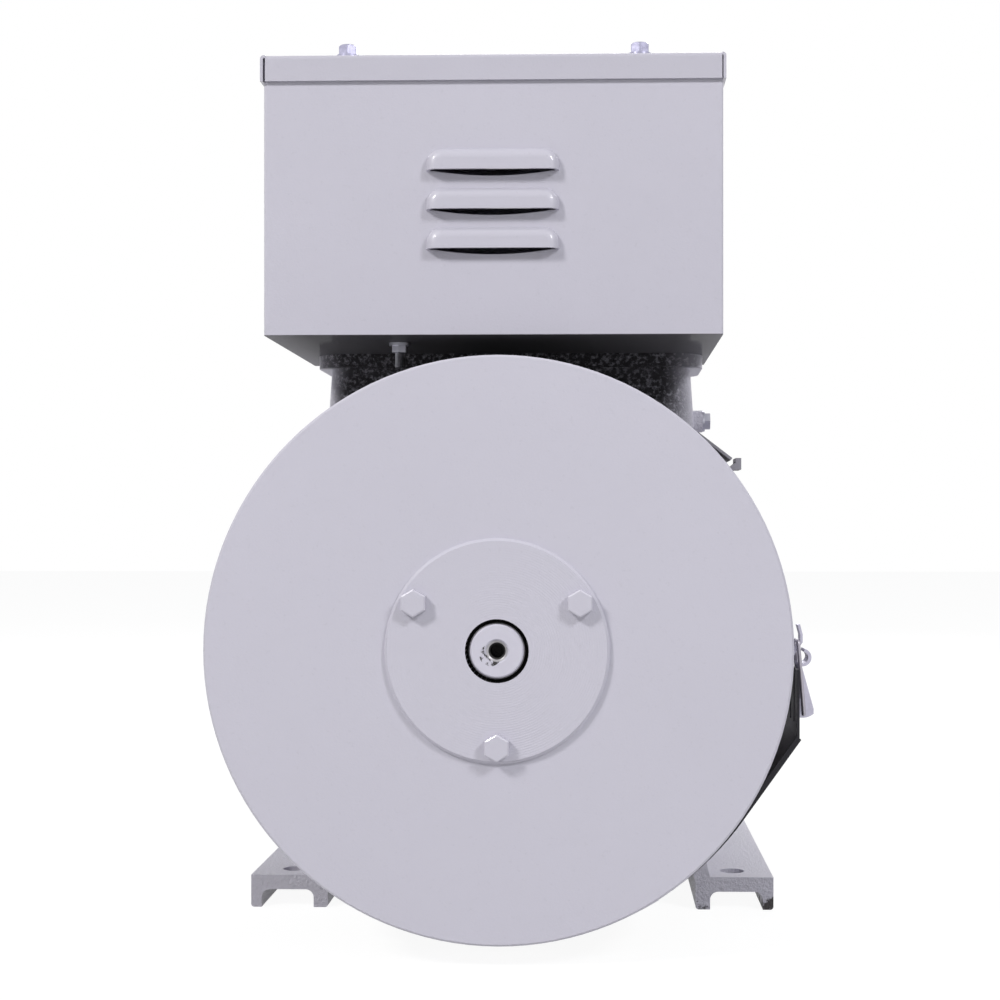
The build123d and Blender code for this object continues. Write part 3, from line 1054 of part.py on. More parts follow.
def latch_lever():
    gauge = LEVER_GAUGE
    body = pair_of_plates(lever_cheek(), LEVER_HALF_WIDTH - gauge, LEVER_HALF_WIDTH)
    top_z = LEVER_CURL_Z - LEVER_CURL_R + 0.6
    slope = (LEVER_NOSE + 0.5) / (top_z - PIVOT_Z + 4.5)
    low_z = PIVOT_Z + 7.0
    low_x = PIVOT_X - 0.5 + slope * (top_z - low_z)
    web = make_face(Polyline(
        at_height(PIVOT_X - 0.5, top_z), at_height(low_x, low_z), at_height(low_x - gauge, low_z),
        at_height(PIVOT_X - 0.5 - gauge, top_z), close=True))
    centre = at_height(PIVOT_X, LEVER_CURL_Z)
    curl = Pos(*centre) * (Circle(LEVER_CURL_R) - Circle(LEVER_CURL_INNER_R))
    mouth = make_face(Polyline(
        centre, (centre[0] + 3.0, centre[1] + 12.0), (centre[0] - 12.0, centre[1] + 12.0),
        (centre[0] - 12.0, centre[1] - 12.0), (centre[0] - 2.5, centre[1] - 12.0), close=True))
    body += along_y(web + (curl - mouth), LATCH_Y - LEVER_HALF_WIDTH, LATCH_Y + LEVER_HALF_WIDTH)
    body -= latch_rod(PIVOT_X, PIVOT_Z, PIVOT_PIN_R + PIN_FIT, 0.0, LEVER_HALF_WIDTH + 1)
    return body - latch_rod(PIN_X, PIN_Z, BAIL_WIRE_R + PIN_FIT, 0.0, LEVER_HALF_WIDTH + 1)


def latch_bail():
    """One bent wire: two short ends in the lever, two legs and a cross bar."""
    end_y = EAR_HALF_WIDTH + 0.25
    points = []
    for side, x, z in ((-1, PIN_X, PIN_Z), (-1, BAIL_TOP_X, BAIL_TOP_Z), (1, BAIL_TOP_X, BAIL_TOP_Z), (1, PIN_X, PIN_Z)):
        points.append((x, LATCH_Y + side * BAIL_LEG_Y, SHAFT_HEIGHT + z))
    start = (PIN_X, LATCH_Y - end_y, SHAFT_HEIGHT + PIN_Z)
    stop = (PIN_X, LATCH_Y + end_y, SHAFT_HEIGHT + PIN_Z)
    path = FilletPolyline(start, *points, stop, radius=BAIL_BEND_R)
    wire = Plane(origin=start, z_dir=(0, -1, 0)) * Circle(BAIL_WIRE_R)
    return sweep(wire, path=path)


def latch_keeper():
    """A plate on the upper guard with an upturned lip that the bail's cross bar hooks behind."""
    face_x = DISC_R + GUARD_SHEET
    g = KEEPER_GAUGE
    plate = block(face_x, face_x + g, LATCH_Y - 2 * KEEPER_HALF_WIDTH, LATCH_Y + 2 * KEEPER_HALF_WIDTH,
                  SHAFT_HEIGHT - KEEPER_HALF_HEIGHT, SHAFT_HEIGHT + KEEPER_HALF_HEIGHT)
    lip = make_face(Polyline(
        at_height(face_x, -KEEPER_HALF_HEIGHT), at_height(face_x + 3.0, -KEEPER_HALF_HEIGHT), at_height(face_x + 9.7, 1.2),
        at_height(face_x + 9.7, 5.6), at_height(face_x + 8.2, 11.4), at_height(face_x + 8.2 - g, 11.0),
        at_height(face_x + 9.7 - g, 5.4), at_height(face_x + 9.7 - g, 1.6), at_height(face_x + 2.3, -7.6),
        at_height(face_x, -7.6), close=True))
    return plate + along_y(lip, LATCH_Y - KEEPER_HALF_WIDTH, LATCH_Y + KEEPER_HALF_WIDTH)


add("latch_base", latch_base())
add("latch_pivot_rivets", pivot_rivets())
add("latch_lever", latch_lever())
add("latch_bail", latch_bail())
add("latch_keeper", latch_keeper())

os.makedirs("parts", exist_ok=True)
for name, shape in parts.items():
    export_step(shape, f"parts/{name}.step")
    print(name, len(shape.solids()), [round(v, 1) for v in shape.bounding_box().size])
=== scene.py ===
# %% [markdown]
# # A generator head, dressed for its portrait
# The construction of this machine comes ready made: every casting, bolt and spring is a solid at its real
# size and place. These cells only give those solids their surfaces, and model the few things that the
# solids leave plain: painted bolt heads, coil springs and a lid of folded sheet. The first cell loads the
# solids and remembers how much room they take.

# %% Load the construction
import bpy
import bmesh
import json
import math
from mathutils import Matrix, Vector


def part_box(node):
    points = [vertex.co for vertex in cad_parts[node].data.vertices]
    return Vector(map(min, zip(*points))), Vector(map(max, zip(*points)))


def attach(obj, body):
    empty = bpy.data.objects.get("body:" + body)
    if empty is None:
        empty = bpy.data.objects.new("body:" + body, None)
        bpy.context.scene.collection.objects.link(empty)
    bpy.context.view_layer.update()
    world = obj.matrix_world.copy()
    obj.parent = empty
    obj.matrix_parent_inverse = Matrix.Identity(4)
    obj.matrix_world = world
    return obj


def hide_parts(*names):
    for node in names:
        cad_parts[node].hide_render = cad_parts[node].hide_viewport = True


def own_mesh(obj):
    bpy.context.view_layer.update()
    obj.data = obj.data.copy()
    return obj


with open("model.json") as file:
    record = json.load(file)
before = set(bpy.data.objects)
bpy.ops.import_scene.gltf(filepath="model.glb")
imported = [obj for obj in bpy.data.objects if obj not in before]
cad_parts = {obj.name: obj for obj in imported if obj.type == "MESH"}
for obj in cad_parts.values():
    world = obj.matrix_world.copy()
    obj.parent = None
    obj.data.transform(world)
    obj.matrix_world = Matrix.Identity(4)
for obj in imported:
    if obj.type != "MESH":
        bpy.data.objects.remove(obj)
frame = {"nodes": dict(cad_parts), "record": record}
nodes = frame["nodes"]
body_of_node = {n: b for b, group in frame["record"]["behaviour"]["bodies"].items() for n in group}
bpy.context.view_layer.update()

# %% [markdown]
# The main places are read from the solids, so nothing has to be measured twice. The shaft line is the
# middle of the shaft's box; the flat end of the machine is the lowest y of its rear bracket.

# %% Places read from the solids
shaft_low, shaft_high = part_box("shaft")
disc_low, disc_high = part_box("rear_end_bracket")
shaft_x = (shaft_low[0] + shaft_high[0]) / 2
shaft_z = (shaft_low[2] + shaft_high[2]) / 2
face_y = disc_low[1]
disc_radius = (disc_high[2] - disc_low[2]) / 2
print("shaft height", round(shaft_z, 4), "end face at y", round(face_y, 4))
print("disc radius", round(disc_radius, 4))

# %% [markdown]
# ## Camera
# The machine is looked at straight onto its closed end, from a little right of the shaft line and a
# little above it. A 61 mm lens at about 0.9 m keeps the circle round while the box and the feet still
# recede. The camera is level and turned by only 1.6 degrees, so the uprights stay upright and the disc
# stays a circle; a small shift of the lens then brings the machine to the middle of the view.

# %% Camera
LENS = 61.2
SENSOR = 36.0
RIGHT_OF_SHAFT = 0.0526
BEFORE_FACE = 0.8995
ABOVE_SHAFT = 0.0629
TURN = 1.6
LENS_SHIFT = (-0.0487, 0.0325)

scene = bpy.context.scene
camera_data = bpy.data.cameras.new("camera")
camera_data.lens = LENS
camera_data.sensor_width = SENSOR
camera_data.shift_x, camera_data.shift_y = LENS_SHIFT
camera = bpy.data.objects.new("camera", camera_data)
scene.collection.objects.link(camera)
camera.location = (shaft_x + RIGHT_OF_SHAFT, face_y - BEFORE_FACE, shaft_z + ABOVE_SHAFT)
camera.rotation_euler = (math.radians(90.0), 0.0, math.radians(TURN))
scene.camera = camera
away = (Vector(camera.location) - Vector((shaft_x, face_y, shaft_z))).length
print("camera stands", round(away, 3), "m away")

# %% [markdown]
# ## Studio
# A pale floor catches the soft shadow. To the camera and in reflections the surroundings are plain white,
# but the light they give is kept lower, so the grey paint keeps its own colour and the deep recesses stay
# dark.

# %% World
SKY_SEEN = ((1.0, 1.0, 1.0), 1.0)
SKY_AS_LIGHT = ((0.95, 0.96, 1.0), 0.27)

scene.view_settings.view_transform = "Standard"
world = bpy.data.worlds.new("studio")
scene.world = world
world.use_nodes = True
world_tree = world.node_tree
world_tree.nodes.clear()


def straight_rays(tree):
    """1 for rays that leave the lens, or reach a surface by mirror or glass; 0 for plain light."""
    path = tree.nodes.new("ShaderNodeLightPath")
    total = path.outputs["Is Camera Ray"]
    for label in ("Is Glossy Ray", "Is Transmission Ray"):
        either = tree.nodes.new("ShaderNodeMath")
        either.operation = "MAXIMUM"
        tree.links.new(total, either.inputs[0])
        tree.links.new(path.outputs[label], either.inputs[1])
        total = either.outputs[0]
    return total


def sky(colour, strength):
    """A plain background of one colour."""
    node = world_tree.nodes.new("ShaderNodeBackground")
    node.inputs["Color"].default_value = (*colour, 1.0)
    node.inputs["Strength"].default_value = strength
    return node.outputs[0]


sky_mix = world_tree.nodes.new("ShaderNodeMixShader")
world_out = world_tree.nodes.new("ShaderNodeOutputWorld")
world_tree.links.new(straight_rays(world_tree), sky_mix.inputs["Fac"])
world_tree.links.new(sky(*SKY_AS_LIGHT), sky_mix.inputs[1])
world_tree.links.new(sky(*SKY_SEEN), sky_mix.inputs[2])
world_tree.links.new(sky_mix.outputs[0], world_out.inputs["Surface"])
print("world: white to the lens, dimmer as light")

# %% [markdown]
# The floor is a sheet of white paper. Paper that is bright to the lens would throw too much light up
# under the box and the barrel, so it is given a white glow that only the lens sees, with a little of its
# true shading on top: that little is the shadow the machine stands in.

# %% Floor
FLOOR_REACH = 9
GLOW = 0.93
PAPER_SEEN = 0.13
PAPER_AS_LIGHT = 0.62

floor_mesh = bpy.data.meshes.new("floor")
floor_corners = [(x * FLOOR_REACH, y * FLOOR_REACH, 0) for x, y in ((-1, -1), (1, -1), (1, 1), (-1, 1))]
floor_mesh.from_pydata(floor_corners, [], [(0, 1, 2, 3)])
floor = bpy.data.objects.new("floor", floor_mesh)
scene.collection.objects.link(floor)
floor_paper = bpy.data.materials.new("floor_paper")
floor_paper.use_nodes = True
floor_tree = floor_paper.node_tree
floor_tree.nodes.clear()


def paper_shade(value):
    """Matt paper of one grey."""
    node = floor_tree.nodes.new("ShaderNodeBsdfDiffuse")
    node.inputs["Color"].default_value = (value, value, value, 1.0)
    return node.outputs[0]


glow = floor_tree.nodes.new("ShaderNodeEmission")
glow.inputs["Strength"].default_value = GLOW
lens_side = floor_tree.nodes.new("ShaderNodeAddShader")
floor_tree.links.new(glow.outputs[0], lens_side.inputs[0])
floor_tree.links.new(paper_shade(PAPER_SEEN), lens_side.inputs[1])
floor_mix = floor_tree.nodes.new("ShaderNodeMixShader")
floor_out = floor_tree.nodes.new("ShaderNodeOutputMaterial")
floor_tree.links.new(straight_rays(floor_tree), floor_mix.inputs["Fac"])
floor_tree.links.new(paper_shade(PAPER_AS_LIGHT), floor_mix.inputs[1])
floor_tree.links.new(lens_side.outputs[0], floor_mix.inputs[2])
floor_tree.links.new(floor_mix.outputs[0], floor_out.inputs["Surface"])
floor_mesh.materials.append(floor_paper)
print("studio floor at z = 0")

# %% [markdown]
# Two round soft lamps stand high to the left and right of the camera, so each bolt head has a faint
# shadow on both sides; the left one is stronger. A weaker and wider one behind keeps the drive end from
# going black.


# %% Lamps
def softbox(name, place, target, size, watts, colour):
    """An area lamp that looks at a point of the machine."""
    data = bpy.data.lights.new(name, "AREA")
    data.shape = "DISK"
    data.size = size
    data.energy = watts
    data.color = colour
    lamp = bpy.data.objects.new(name, data)
    lamp.location = place
    lamp.rotation_euler = (Vector(target) - Vector(place)).to_track_quat("-Z", "Y").to_euler()
    scene.collection.objects.link(lamp)


LAMPS = [
    ("key_lamp", (-2.7, -2.75, 3.0), (0, -0.15, 0.20), 0.9, 120.0, (1.0, 0.99, 0.975)),
    ("right_lamp", (2.6, -2.75, 2.8), (0, -0.15, 0.18), 0.9, 84.0, (0.975, 0.98, 1.0)),
    ("back_lamp", (0.4, 2.0, 1.6), (0, 0, 0.25), 1.6, 18.0, (1.0, 1.0, 1.0)),
]
for lamp_name, place, target, size, watts, colour in LAMPS:
    softbox(lamp_name, place, target, size, watts, colour)
print("soft lamps:", [lamp[0] for lamp in LAMPS])

# %% [markdown]
# ## Shader groups
# Paint, cast iron and plated steel share a few effects: a slow drift of colour, a fine grain, the rings a
# lathe leaves and places where the paint is chipped off. Each effect is one node group with its own
# sockets. A group only hands out masks and heights; the shader stays in the material, where its plain
# numbers can be read. The helpers below make the groups and the nodes that every material needs.


# %% Group helper
def new_group(name, inputs, outputs):
    """Start a node group with number inputs (name, default) and number outputs (name)."""
    group = bpy.data.node_groups.new(name, "ShaderNodeTree")
    for label, value in inputs:
        socket = group.interface.new_socket(label, in_out="INPUT", socket_type="NodeSocketFloat")
        socket.default_value = value
    for label in outputs:
        group.interface.new_socket(label, in_out="OUTPUT", socket_type="NodeSocketFloat")
    entry = group.nodes.new("NodeGroupInput")
    leave = group.nodes.new("NodeGroupOutput")
    return group, entry, leave


def feed(tree, socket, value):
    """Give a socket a plain number or the output of another node."""
    if isinstance(value, (int, float)):
        socket.default_value = value
    else:
        tree.links.new(value, socket)


def math_node(tree, kind, first, second=None, clamp=False):
    """A math node whose inputs are sockets or plain numbers."""
    node = tree.nodes.new("ShaderNodeMath")
    node.operation = kind
    node.use_clamp = clamp
    feed(tree, node.inputs[0], first)
    if second is not None:
        feed(tree, node.inputs[1], second)
    return node.outputs[0]


def times(tree, first, second, clamp=False):
    return math_node(tree, "MULTIPLY", first, second, clamp)


def plus(tree, first, second, clamp=False):
    return math_node(tree, "ADD", first, second, clamp)


def minus(tree, first, second, clamp=False):
    return math_node(tree, "SUBTRACT", first, second, clamp)


def object_space(tree):
    """The place of each point, in metres."""
    return tree.nodes.new("ShaderNodeTexCoord").outputs["Object"]


def axes(tree):
    """The x, y and z of that place, one by one."""
    split = tree.nodes.new("ShaderNodeSeparateXYZ")
    tree.links.new(object_space(tree), split.inputs[0])
    return split.outputs


def noise_node(tree, vector, scale, detail, roughness=0.5):
    """Noise between 0 and 1; the scale may be a socket."""
    node = tree.nodes.new("ShaderNodeTexNoise")
    node.inputs["Detail"].default_value = detail
    node.inputs["Roughness"].default_value = roughness
    feed(tree, node.inputs["Scale"], scale)
    tree.links.new(vector, node.inputs["Vector"])
    return node.outputs["Fac"]


print("group helpers ready")

# %% [markdown]
# Sprayed paint is never one colour: it drifts a little where the coat is thick or thin. Slow noise gives
# that drift, and a finer one the orange peel of the surface, whose height goes to a Bump node in the
# material. A third noise, of which only the peaks are kept, gives fine specks of dust.

# %% Paint drift and orange peel
DUST_SCALE = 420.0
DUST_LEVEL = 0.62
DUST_EDGE = 9.0

drift_group, entry, leave = new_group(
    "paint_drift",
    [("Patch Scale", 9.0), ("Peel Scale", 900.0)],
    ["Drift", "Peel", "Dust"])
space = object_space(drift_group)
drift = noise_node(drift_group, space, entry.outputs["Patch Scale"], 4.0, 0.55)
peel = noise_node(drift_group, space, entry.outputs["Peel Scale"], 2.0, 0.5)
speck = noise_node(drift_group, space, DUST_SCALE, 2.0, 0.7)
dust = times(drift_group, minus(drift_group, speck, DUST_LEVEL), DUST_EDGE, clamp=True)
drift_group.links.new(drift, leave.inputs["Drift"])
drift_group.links.new(peel, leave.inputs["Peel"])
drift_group.links.new(dust, leave.inputs["Dust"])
print("paint_drift:", [s.name for s in drift_group.interface.items_tree])

# %% [markdown]
# A lathe leaves rings that share the shaft line. The distance from that line goes through a sine, which
# makes an even wave. The rings are wanted only on one band, so the group also takes an inner and an outer
# limit, and hands out that band as a mask.

# %% Turned rings
rings_group, entry, leave = new_group(
    "turned_rings",
    [("Axis X", 0.0), ("Axis Z", 0.0), ("Pitch", 0.0013), ("Inner", 0.0), ("Outer", 1.0)],
    ["Height", "Mask"])
place = axes(rings_group)
off_x = minus(rings_group, place["X"], entry.outputs["Axis X"])
off_z = minus(rings_group, place["Z"], entry.outputs["Axis Z"])
square = plus(rings_group, times(rings_group, off_x, off_x), times(rings_group, off_z, off_z))
radius = math_node(rings_group, "SQRT", square)
turns = math_node(rings_group, "DIVIDE", radius, entry.outputs["Pitch"])
wave = math_node(rings_group, "SINE", times(rings_group, turns, 2 * math.pi))
inside = math_node(rings_group, "LESS_THAN", radius, entry.outputs["Outer"])
outside = math_node(rings_group, "GREATER_THAN", radius, entry.outputs["Inner"])
mask = times(rings_group, inside, outside)
rings_group.links.new(times(rings_group, wave, mask), leave.inputs["Height"])
rings_group.links.new(mask, leave.inputs["Mask"])
print("turned_rings:", [s.name for s in rings_group.interface.items_tree])

# %% [markdown]
# Paint chips off where the machine is set down, along the bottoms of the feet, and plated steel stains
# where it is handled. The group makes ragged islands from noise, and lets them grow where a mask from the
# material says.

# %% Chips
CHIP_LEVEL = 0.92
CHIP_EDGE = 22.0

chips_group, entry, leave = new_group(
    "paint_chips",
    [("Where", 1.0), ("Amount", 0.5), ("Scale", 60.0)],
    ["Chip"])
space = object_space(chips_group)
ragged = noise_node(chips_group, space, entry.outputs["Scale"], 8.0, 0.68)
reach = times(chips_group, entry.outputs["Where"], entry.outputs["Amount"])
level = plus(chips_group, ragged, reach)
chip = times(chips_group, minus(chips_group, level, CHIP_LEVEL), CHIP_EDGE, clamp=True)
chips_group.links.new(chip, leave.inputs["Chip"])
print("paint_chips:", [s.name for s in chips_group.interface.items_tree])

# %% [markdown]
# ## Paint
# All the painted pieces share one recipe: a grey with a touch of violet, half gloss, orange peel under a
# thin coat. First come the small helpers that every recipe uses: a copy of a group with its numbers, a
# mix of two colours, and a surface that takes a colour, a roughness and a height.


# %% Recipe helpers
def place_group(tree, group, **values):
    """A copy of a group, with numbers for some of its inputs."""
    node = tree.nodes.new("ShaderNodeGroup")
    node.node_tree = group
    for label, value in values.items():
        node.inputs[label.replace("_", " ")].default_value = value
    return node


def mix_colours(tree, share, first, second):
    """Mix two colours; each is three numbers or the output of another node."""
    node = tree.nodes.new("ShaderNodeMix")
    node.data_type = "RGBA"
    for socket, value in ((node.inputs[6], first), (node.inputs[7], second)):
        if isinstance(value, tuple):
            socket.default_value = (*value, 1.0)
        else:
            tree.links.new(value, socket)
    tree.links.new(share, node.inputs["Factor"])
    return node.outputs[2]


def shade(colour, factor):
    return tuple(min(1.0, channel * factor) for channel in colour)


def new_material(name):
    """A material, its nodes and its shader."""
    material = bpy.data.materials.new(name)
    material.use_nodes = True
    return material, material.node_tree, material.node_tree.nodes["Principled BSDF"]


def surface(tree, shader, tone, rough, height):
    """Give the shader a colour, a roughness and, through a bump, a height in metres."""
    bump = tree.nodes.new("ShaderNodeBump")
    bump.inputs["Strength"].default_value = 1.0
    bump.inputs["Distance"].default_value = 1.0
    tree.links.new(height, bump.inputs["Height"])
    tree.links.new(bump.outputs["Normal"], shader.inputs["Normal"])
    tree.links.new(tone, shader.inputs["Base Color"])
    tree.links.new(rough, shader.inputs["Roughness"])


def disc_mask(tree, radius, right=0.0, up=0.0):
    """1 inside a radius round the shaft line, or round a line beside it."""
    disc = place_group(tree, rings_group, Axis_X=shaft_x + right, Axis_Z=shaft_z + up, Outer=radius)
    return disc.outputs["Mask"]


print("recipe helpers ready")

# %% [markdown]
# What differs from one painted piece to the next is the body under the paint, so the recipe takes the
# grain of that body as two numbers: how coarse it is and how deep. Sheet steel is nearly smooth, and
# sand-cast iron has pores deep enough to catch their own shadow. Lathe rings, chips and painted shade in
# recesses are there only when asked.

# %% Painted metal
PAINT_GREY = (0.560, 0.545, 0.622)
CHIP_DARK = (0.045, 0.040, 0.042)
PAINTED_SHADE_DARK = (0.012, 0.011, 0.013)
DUST_SHARE = 0.16
DUST_SHADE = 0.72
ROUGH_SPREAD = 0.16
RING_PATCH_LEVEL = 0.40
RING_PATCH_EDGE = 5.0
PORE_SCALE = 620.0
CHIP_DEPTH = 0.00012
CHIP_ROUGH = 0.25
PAINTED_SHADE_ROUGH = 0.50


def chip_mask(tree, chips):
    """Chips below a height, more of them the further right."""
    place = axes(tree)
    where = math_node(tree, "DIVIDE", minus(tree, chips["below"], place["Z"]), chips["fade"], clamp=True)
    side = plus(tree, times(tree, place["X"], chips["side"]), chips["middle"], clamp=True)
    worn = place_group(tree, chips_group, Amount=chips["amount"], Scale=chips["scale"])
    tree.links.new(times(tree, where, side), worn.inputs["Where"])
    return worn.outputs["Chip"]


def painted(name, colour, grain_scale=900.0, grain_depth=0.00006, gloss=0.40, rings=None, chips=None,
            pores=0.0, drift=0.07, painted_shade=None, coat=0.45, coat_rough=0.07):
    """Half-gloss paint over a body with its own grain."""
    material, tree, shader = new_material(name)
    film = place_group(tree, drift_group, Peel_Scale=grain_scale)
    tone = mix_colours(tree, film.outputs["Drift"], shade(colour, 1 - drift), shade(colour, 1 + drift))
    dusty = times(tree, film.outputs["Dust"], DUST_SHARE)
    tone = mix_colours(tree, dusty, tone, shade(colour, DUST_SHADE))
    height = times(tree, film.outputs["Peel"], grain_depth)
    rough = plus(tree, times(tree, film.outputs["Drift"], ROUGH_SPREAD), gloss - ROUGH_SPREAD / 2)
    if rings:
        lathe = place_group(tree, rings_group, **rings["values"])
        patchy = minus(tree, film.outputs["Drift"], RING_PATCH_LEVEL)
        patchy = times(tree, patchy, RING_PATCH_EDGE, clamp=True)
        groove = times(tree, lathe.outputs["Height"], times(tree, patchy, rings["depth"]))
        height = plus(tree, height, groove)
    if pores:
        pits = noise_node(tree, object_space(tree), PORE_SCALE, 4.0, 0.65)
        height = plus(tree, height, times(tree, pits, pores))
    if chips:
        chip = chip_mask(tree, chips)
        tone = mix_colours(tree, chip, tone, CHIP_DARK)
        height = minus(tree, height, times(tree, chip, CHIP_DEPTH))
        rough = plus(tree, rough, times(tree, chip, CHIP_ROUGH), clamp=True)
    # Painted shade: where the mask is 1, the paint turns near-black, rougher and without coat, standing in
    # for the shade in a recess.
    if painted_shade:
        shade_share = painted_shade(tree)
        tone = mix_colours(tree, shade_share, tone, PAINTED_SHADE_DARK)
        rough = plus(tree, rough, times(tree, shade_share, PAINTED_SHADE_ROUGH), clamp=True)
        glossy = times(tree, minus(tree, 1.0, shade_share, clamp=True), coat)
        tree.links.new(glossy, shader.inputs["Coat Weight"])
    else:
        shader.inputs["Coat Weight"].default_value = coat
    shader.inputs["Specular IOR Level"].default_value = 0.5
    shader.inputs["Coat Roughness"].default_value = coat_rough
    surface(tree, shader, tone, rough, height)
    return material


print("paint grey:", PAINT_GREY)

# %% [markdown]
# Shade is painted into the recesses where it falls: the paint turns near-black on the wall of the bore round
# the shaft, on the underside of the box, on the inner side of the left foot and, in blotches, on the front of
# the casting under the box. Each place is a mask from 0 to 1, made from heights and distances in metres.

# %% Painted shade in recesses
BORE_RADIUS = 0.0170
BORE_EDGE = 0.0009
NECK_DEPTH = 0.030
NECK_FADE = 0.012
NECK_LOW = 0.085
NECK_HIGH = 0.030
NECK_HALF_WIDTH = 0.150
NECK_SIDE_FADE = 0.050
NECK_SHARE = 0.96
BLOTCH_SCALE = 380.0
BLOTCH_LEVEL = 0.16
BLOTCH_EDGE = 2.9
LEG_FROM = 0.1086
LEG_TO = 0.0950
LEG_TOP = 0.036
LEG_SHARE = 0.9
FLOOR_SKIN = 0.0003
FLOOR_HALF_WIDTH = 0.215
FLOOR_SIDE_FADE = 0.110
FLOOR_SHARE = 0.86

box_low, box_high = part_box("terminal_box")
neck_x = (box_low[0] + box_high[0]) / 2
neck_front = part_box("frame_casting")[0][1] + NECK_DEPTH


def bore_painted_shade(tree):
    """Painted shade on the wall of the hole round the shaft end, behind its edge."""
    behind = math_node(tree, "GREATER_THAN", axes(tree)["Y"], face_y + BORE_EDGE)
    return times(tree, disc_mask(tree, BORE_RADIUS), behind)


def near_middle(tree, half_width, fade):
    """Falls to 0 at half a width left and right of the middle of the box."""
    off = math_node(tree, "ABSOLUTE", minus(tree, axes(tree)["X"], neck_x))
    return math_node(tree, "DIVIDE", minus(tree, half_width, off), fade, clamp=True)


def inner_leg_painted_shade(tree):
    """Painted shade on the side of the left foot that faces the middle."""
    place = axes(tree)
    past = math_node(tree, "GREATER_THAN", place["X"], shaft_x - LEG_FROM)
    before = math_node(tree, "LESS_THAN", place["X"], shaft_x - LEG_TO)
    low = math_node(tree, "LESS_THAN", place["Z"], LEG_TOP)
    return times(tree, times(tree, past, before), times(tree, low, LEG_SHARE))


def neck_painted_shade(tree):
    """Painted shade on the front of the casting under the box, in blotches, and on the inner leg."""
    place = axes(tree)
    front = math_node(tree, "DIVIDE", minus(tree, neck_front, place["Y"]), NECK_FADE, clamp=True)
    low, high = box_low[2] - NECK_LOW, box_low[2] - NECK_HIGH
    rise = math_node(tree, "DIVIDE", minus(tree, place["Z"], low), high - low, clamp=True)
    under_box = times(tree, rise, near_middle(tree, NECK_HALF_WIDTH, NECK_SIDE_FADE))
    under_box = times(tree, under_box, NECK_SHARE)
    blotches = minus(tree, noise_node(tree, object_space(tree), BLOTCH_SCALE, 4.0, 0.7), BLOTCH_LEVEL)
    under_box = times(tree, under_box, times(tree, blotches, BLOTCH_EDGE, clamp=True))
    return math_node(tree, "MAXIMUM", times(tree, front, under_box), inner_leg_painted_shade(tree))


def box_floor_painted_shade(tree):
    """Painted shade on the underside of the box, seen only from below."""
    under = math_node(tree, "LESS_THAN", axes(tree)["Z"], box_low[2] + FLOOR_SKIN)
    return times(tree, under, times(tree, near_middle(tree, FLOOR_HALF_WIDTH, FLOOR_SIDE_FADE), FLOOR_SHARE))


print("unsprayed from z", round(box_low[2] - NECK_LOW, 3), "up to the box floor at", round(box_low[2], 3))

# %% [markdown]
# The end shield has faint lathe rings on its boss, and the feet have chips along their bottoms, more on
# the right. The box and lid greys are darkened as painted shade against the stronger lamp light on them,
# the lid more; the casting is a shade lighter and much rougher.

# %% Painted finishes
ring_band = {"Axis_X": shaft_x, "Axis_Z": shaft_z, "Pitch": 0.0013, "Inner": 0.0165, "Outer": 0.0584}
boss_rings = {"values": ring_band, "depth": 0.000028}
foot_chips = {"below": 0.026, "fade": 0.024, "side": 3.0, "middle": 0.55, "amount": 0.44, "scale": 95.0}
disc_paint = painted("disc_paint", PAINT_GREY, rings=boss_rings, gloss=0.42, drift=0.025, painted_shade=bore_painted_shade)
# Painted shade: the box grey is 5 percent and the lid grey 10 percent darker than the disc's, to offset the
# nearer lamps.
sheet_paint = painted("sheet_paint", shade(PAINT_GREY, 0.95), drift=0.03, painted_shade=box_floor_painted_shade)
lid_paint = painted("lid_paint", shade(PAINT_GREY, 0.90), drift=0.03)
cast_paint = painted("cast_paint", shade(PAINT_GREY, 1.06), grain_scale=420.0, grain_depth=0.00045,
                     gloss=0.48, pores=0.0011, chips=foot_chips, painted_shade=neck_painted_shade,
                     coat=0.12, coat_rough=0.30)
bolt_paint = painted("bolt_paint", PAINT_GREY, gloss=0.34, drift=0.03)
print("painted:", [paint.name for paint in (disc_paint, sheet_paint, lid_paint, cast_paint, bolt_paint)])

# %% [markdown]
# ## Bare and plated metal
# Zinc-plated steel is bright but cloudy, because the crystals of the plating face every way. Bearing
# steel is cleaner, and the latch and its wire have brown stains where they are handled. Metals take the
# full metallic value; what makes them differ is colour, roughness and the size of the clouds.

# %% Metals
CLOUD_DARK = 0.86
CLOUD_LIGHT = 1.1
GRAIN_SCALE = 1400.0
STAIN_BROWN = (0.055, 0.035, 0.028)
STAIN_SCALE = 240.0
STAIN_ROUGH = 0.4


def metal(name, colour, rough, cloud_scale=90.0, cloud=0.12, grain=0.00002, specks=0.0, tint=None):
    """Bare or plated metal with cloudy roughness and, if asked for, dark specks."""
    material, tree, shader = new_material(name)
    space = object_space(tree)
    cloudy = noise_node(tree, space, cloud_scale, 4.0, 0.6)
    tone = mix_colours(tree, cloudy, shade(colour, CLOUD_DARK), tint or shade(colour, CLOUD_LIGHT))
    height = times(tree, noise_node(tree, space, GRAIN_SCALE, 2.0), grain)
    rough_here = plus(tree, times(tree, cloudy, cloud), rough - cloud / 2)
    if specks:
        stain = place_group(tree, chips_group, Where=1.0, Amount=specks, Scale=STAIN_SCALE).outputs["Chip"]
        tone = mix_colours(tree, stain, tone, STAIN_BROWN)
        rough_here = plus(tree, rough_here, times(tree, stain, STAIN_ROUGH), clamp=True)
        tree.links.new(minus(tree, 1.0, stain), shader.inputs["Metallic"])
    else:
        shader.inputs["Metallic"].default_value = 1.0
    surface(tree, shader, tone, rough_here, height)
    return material


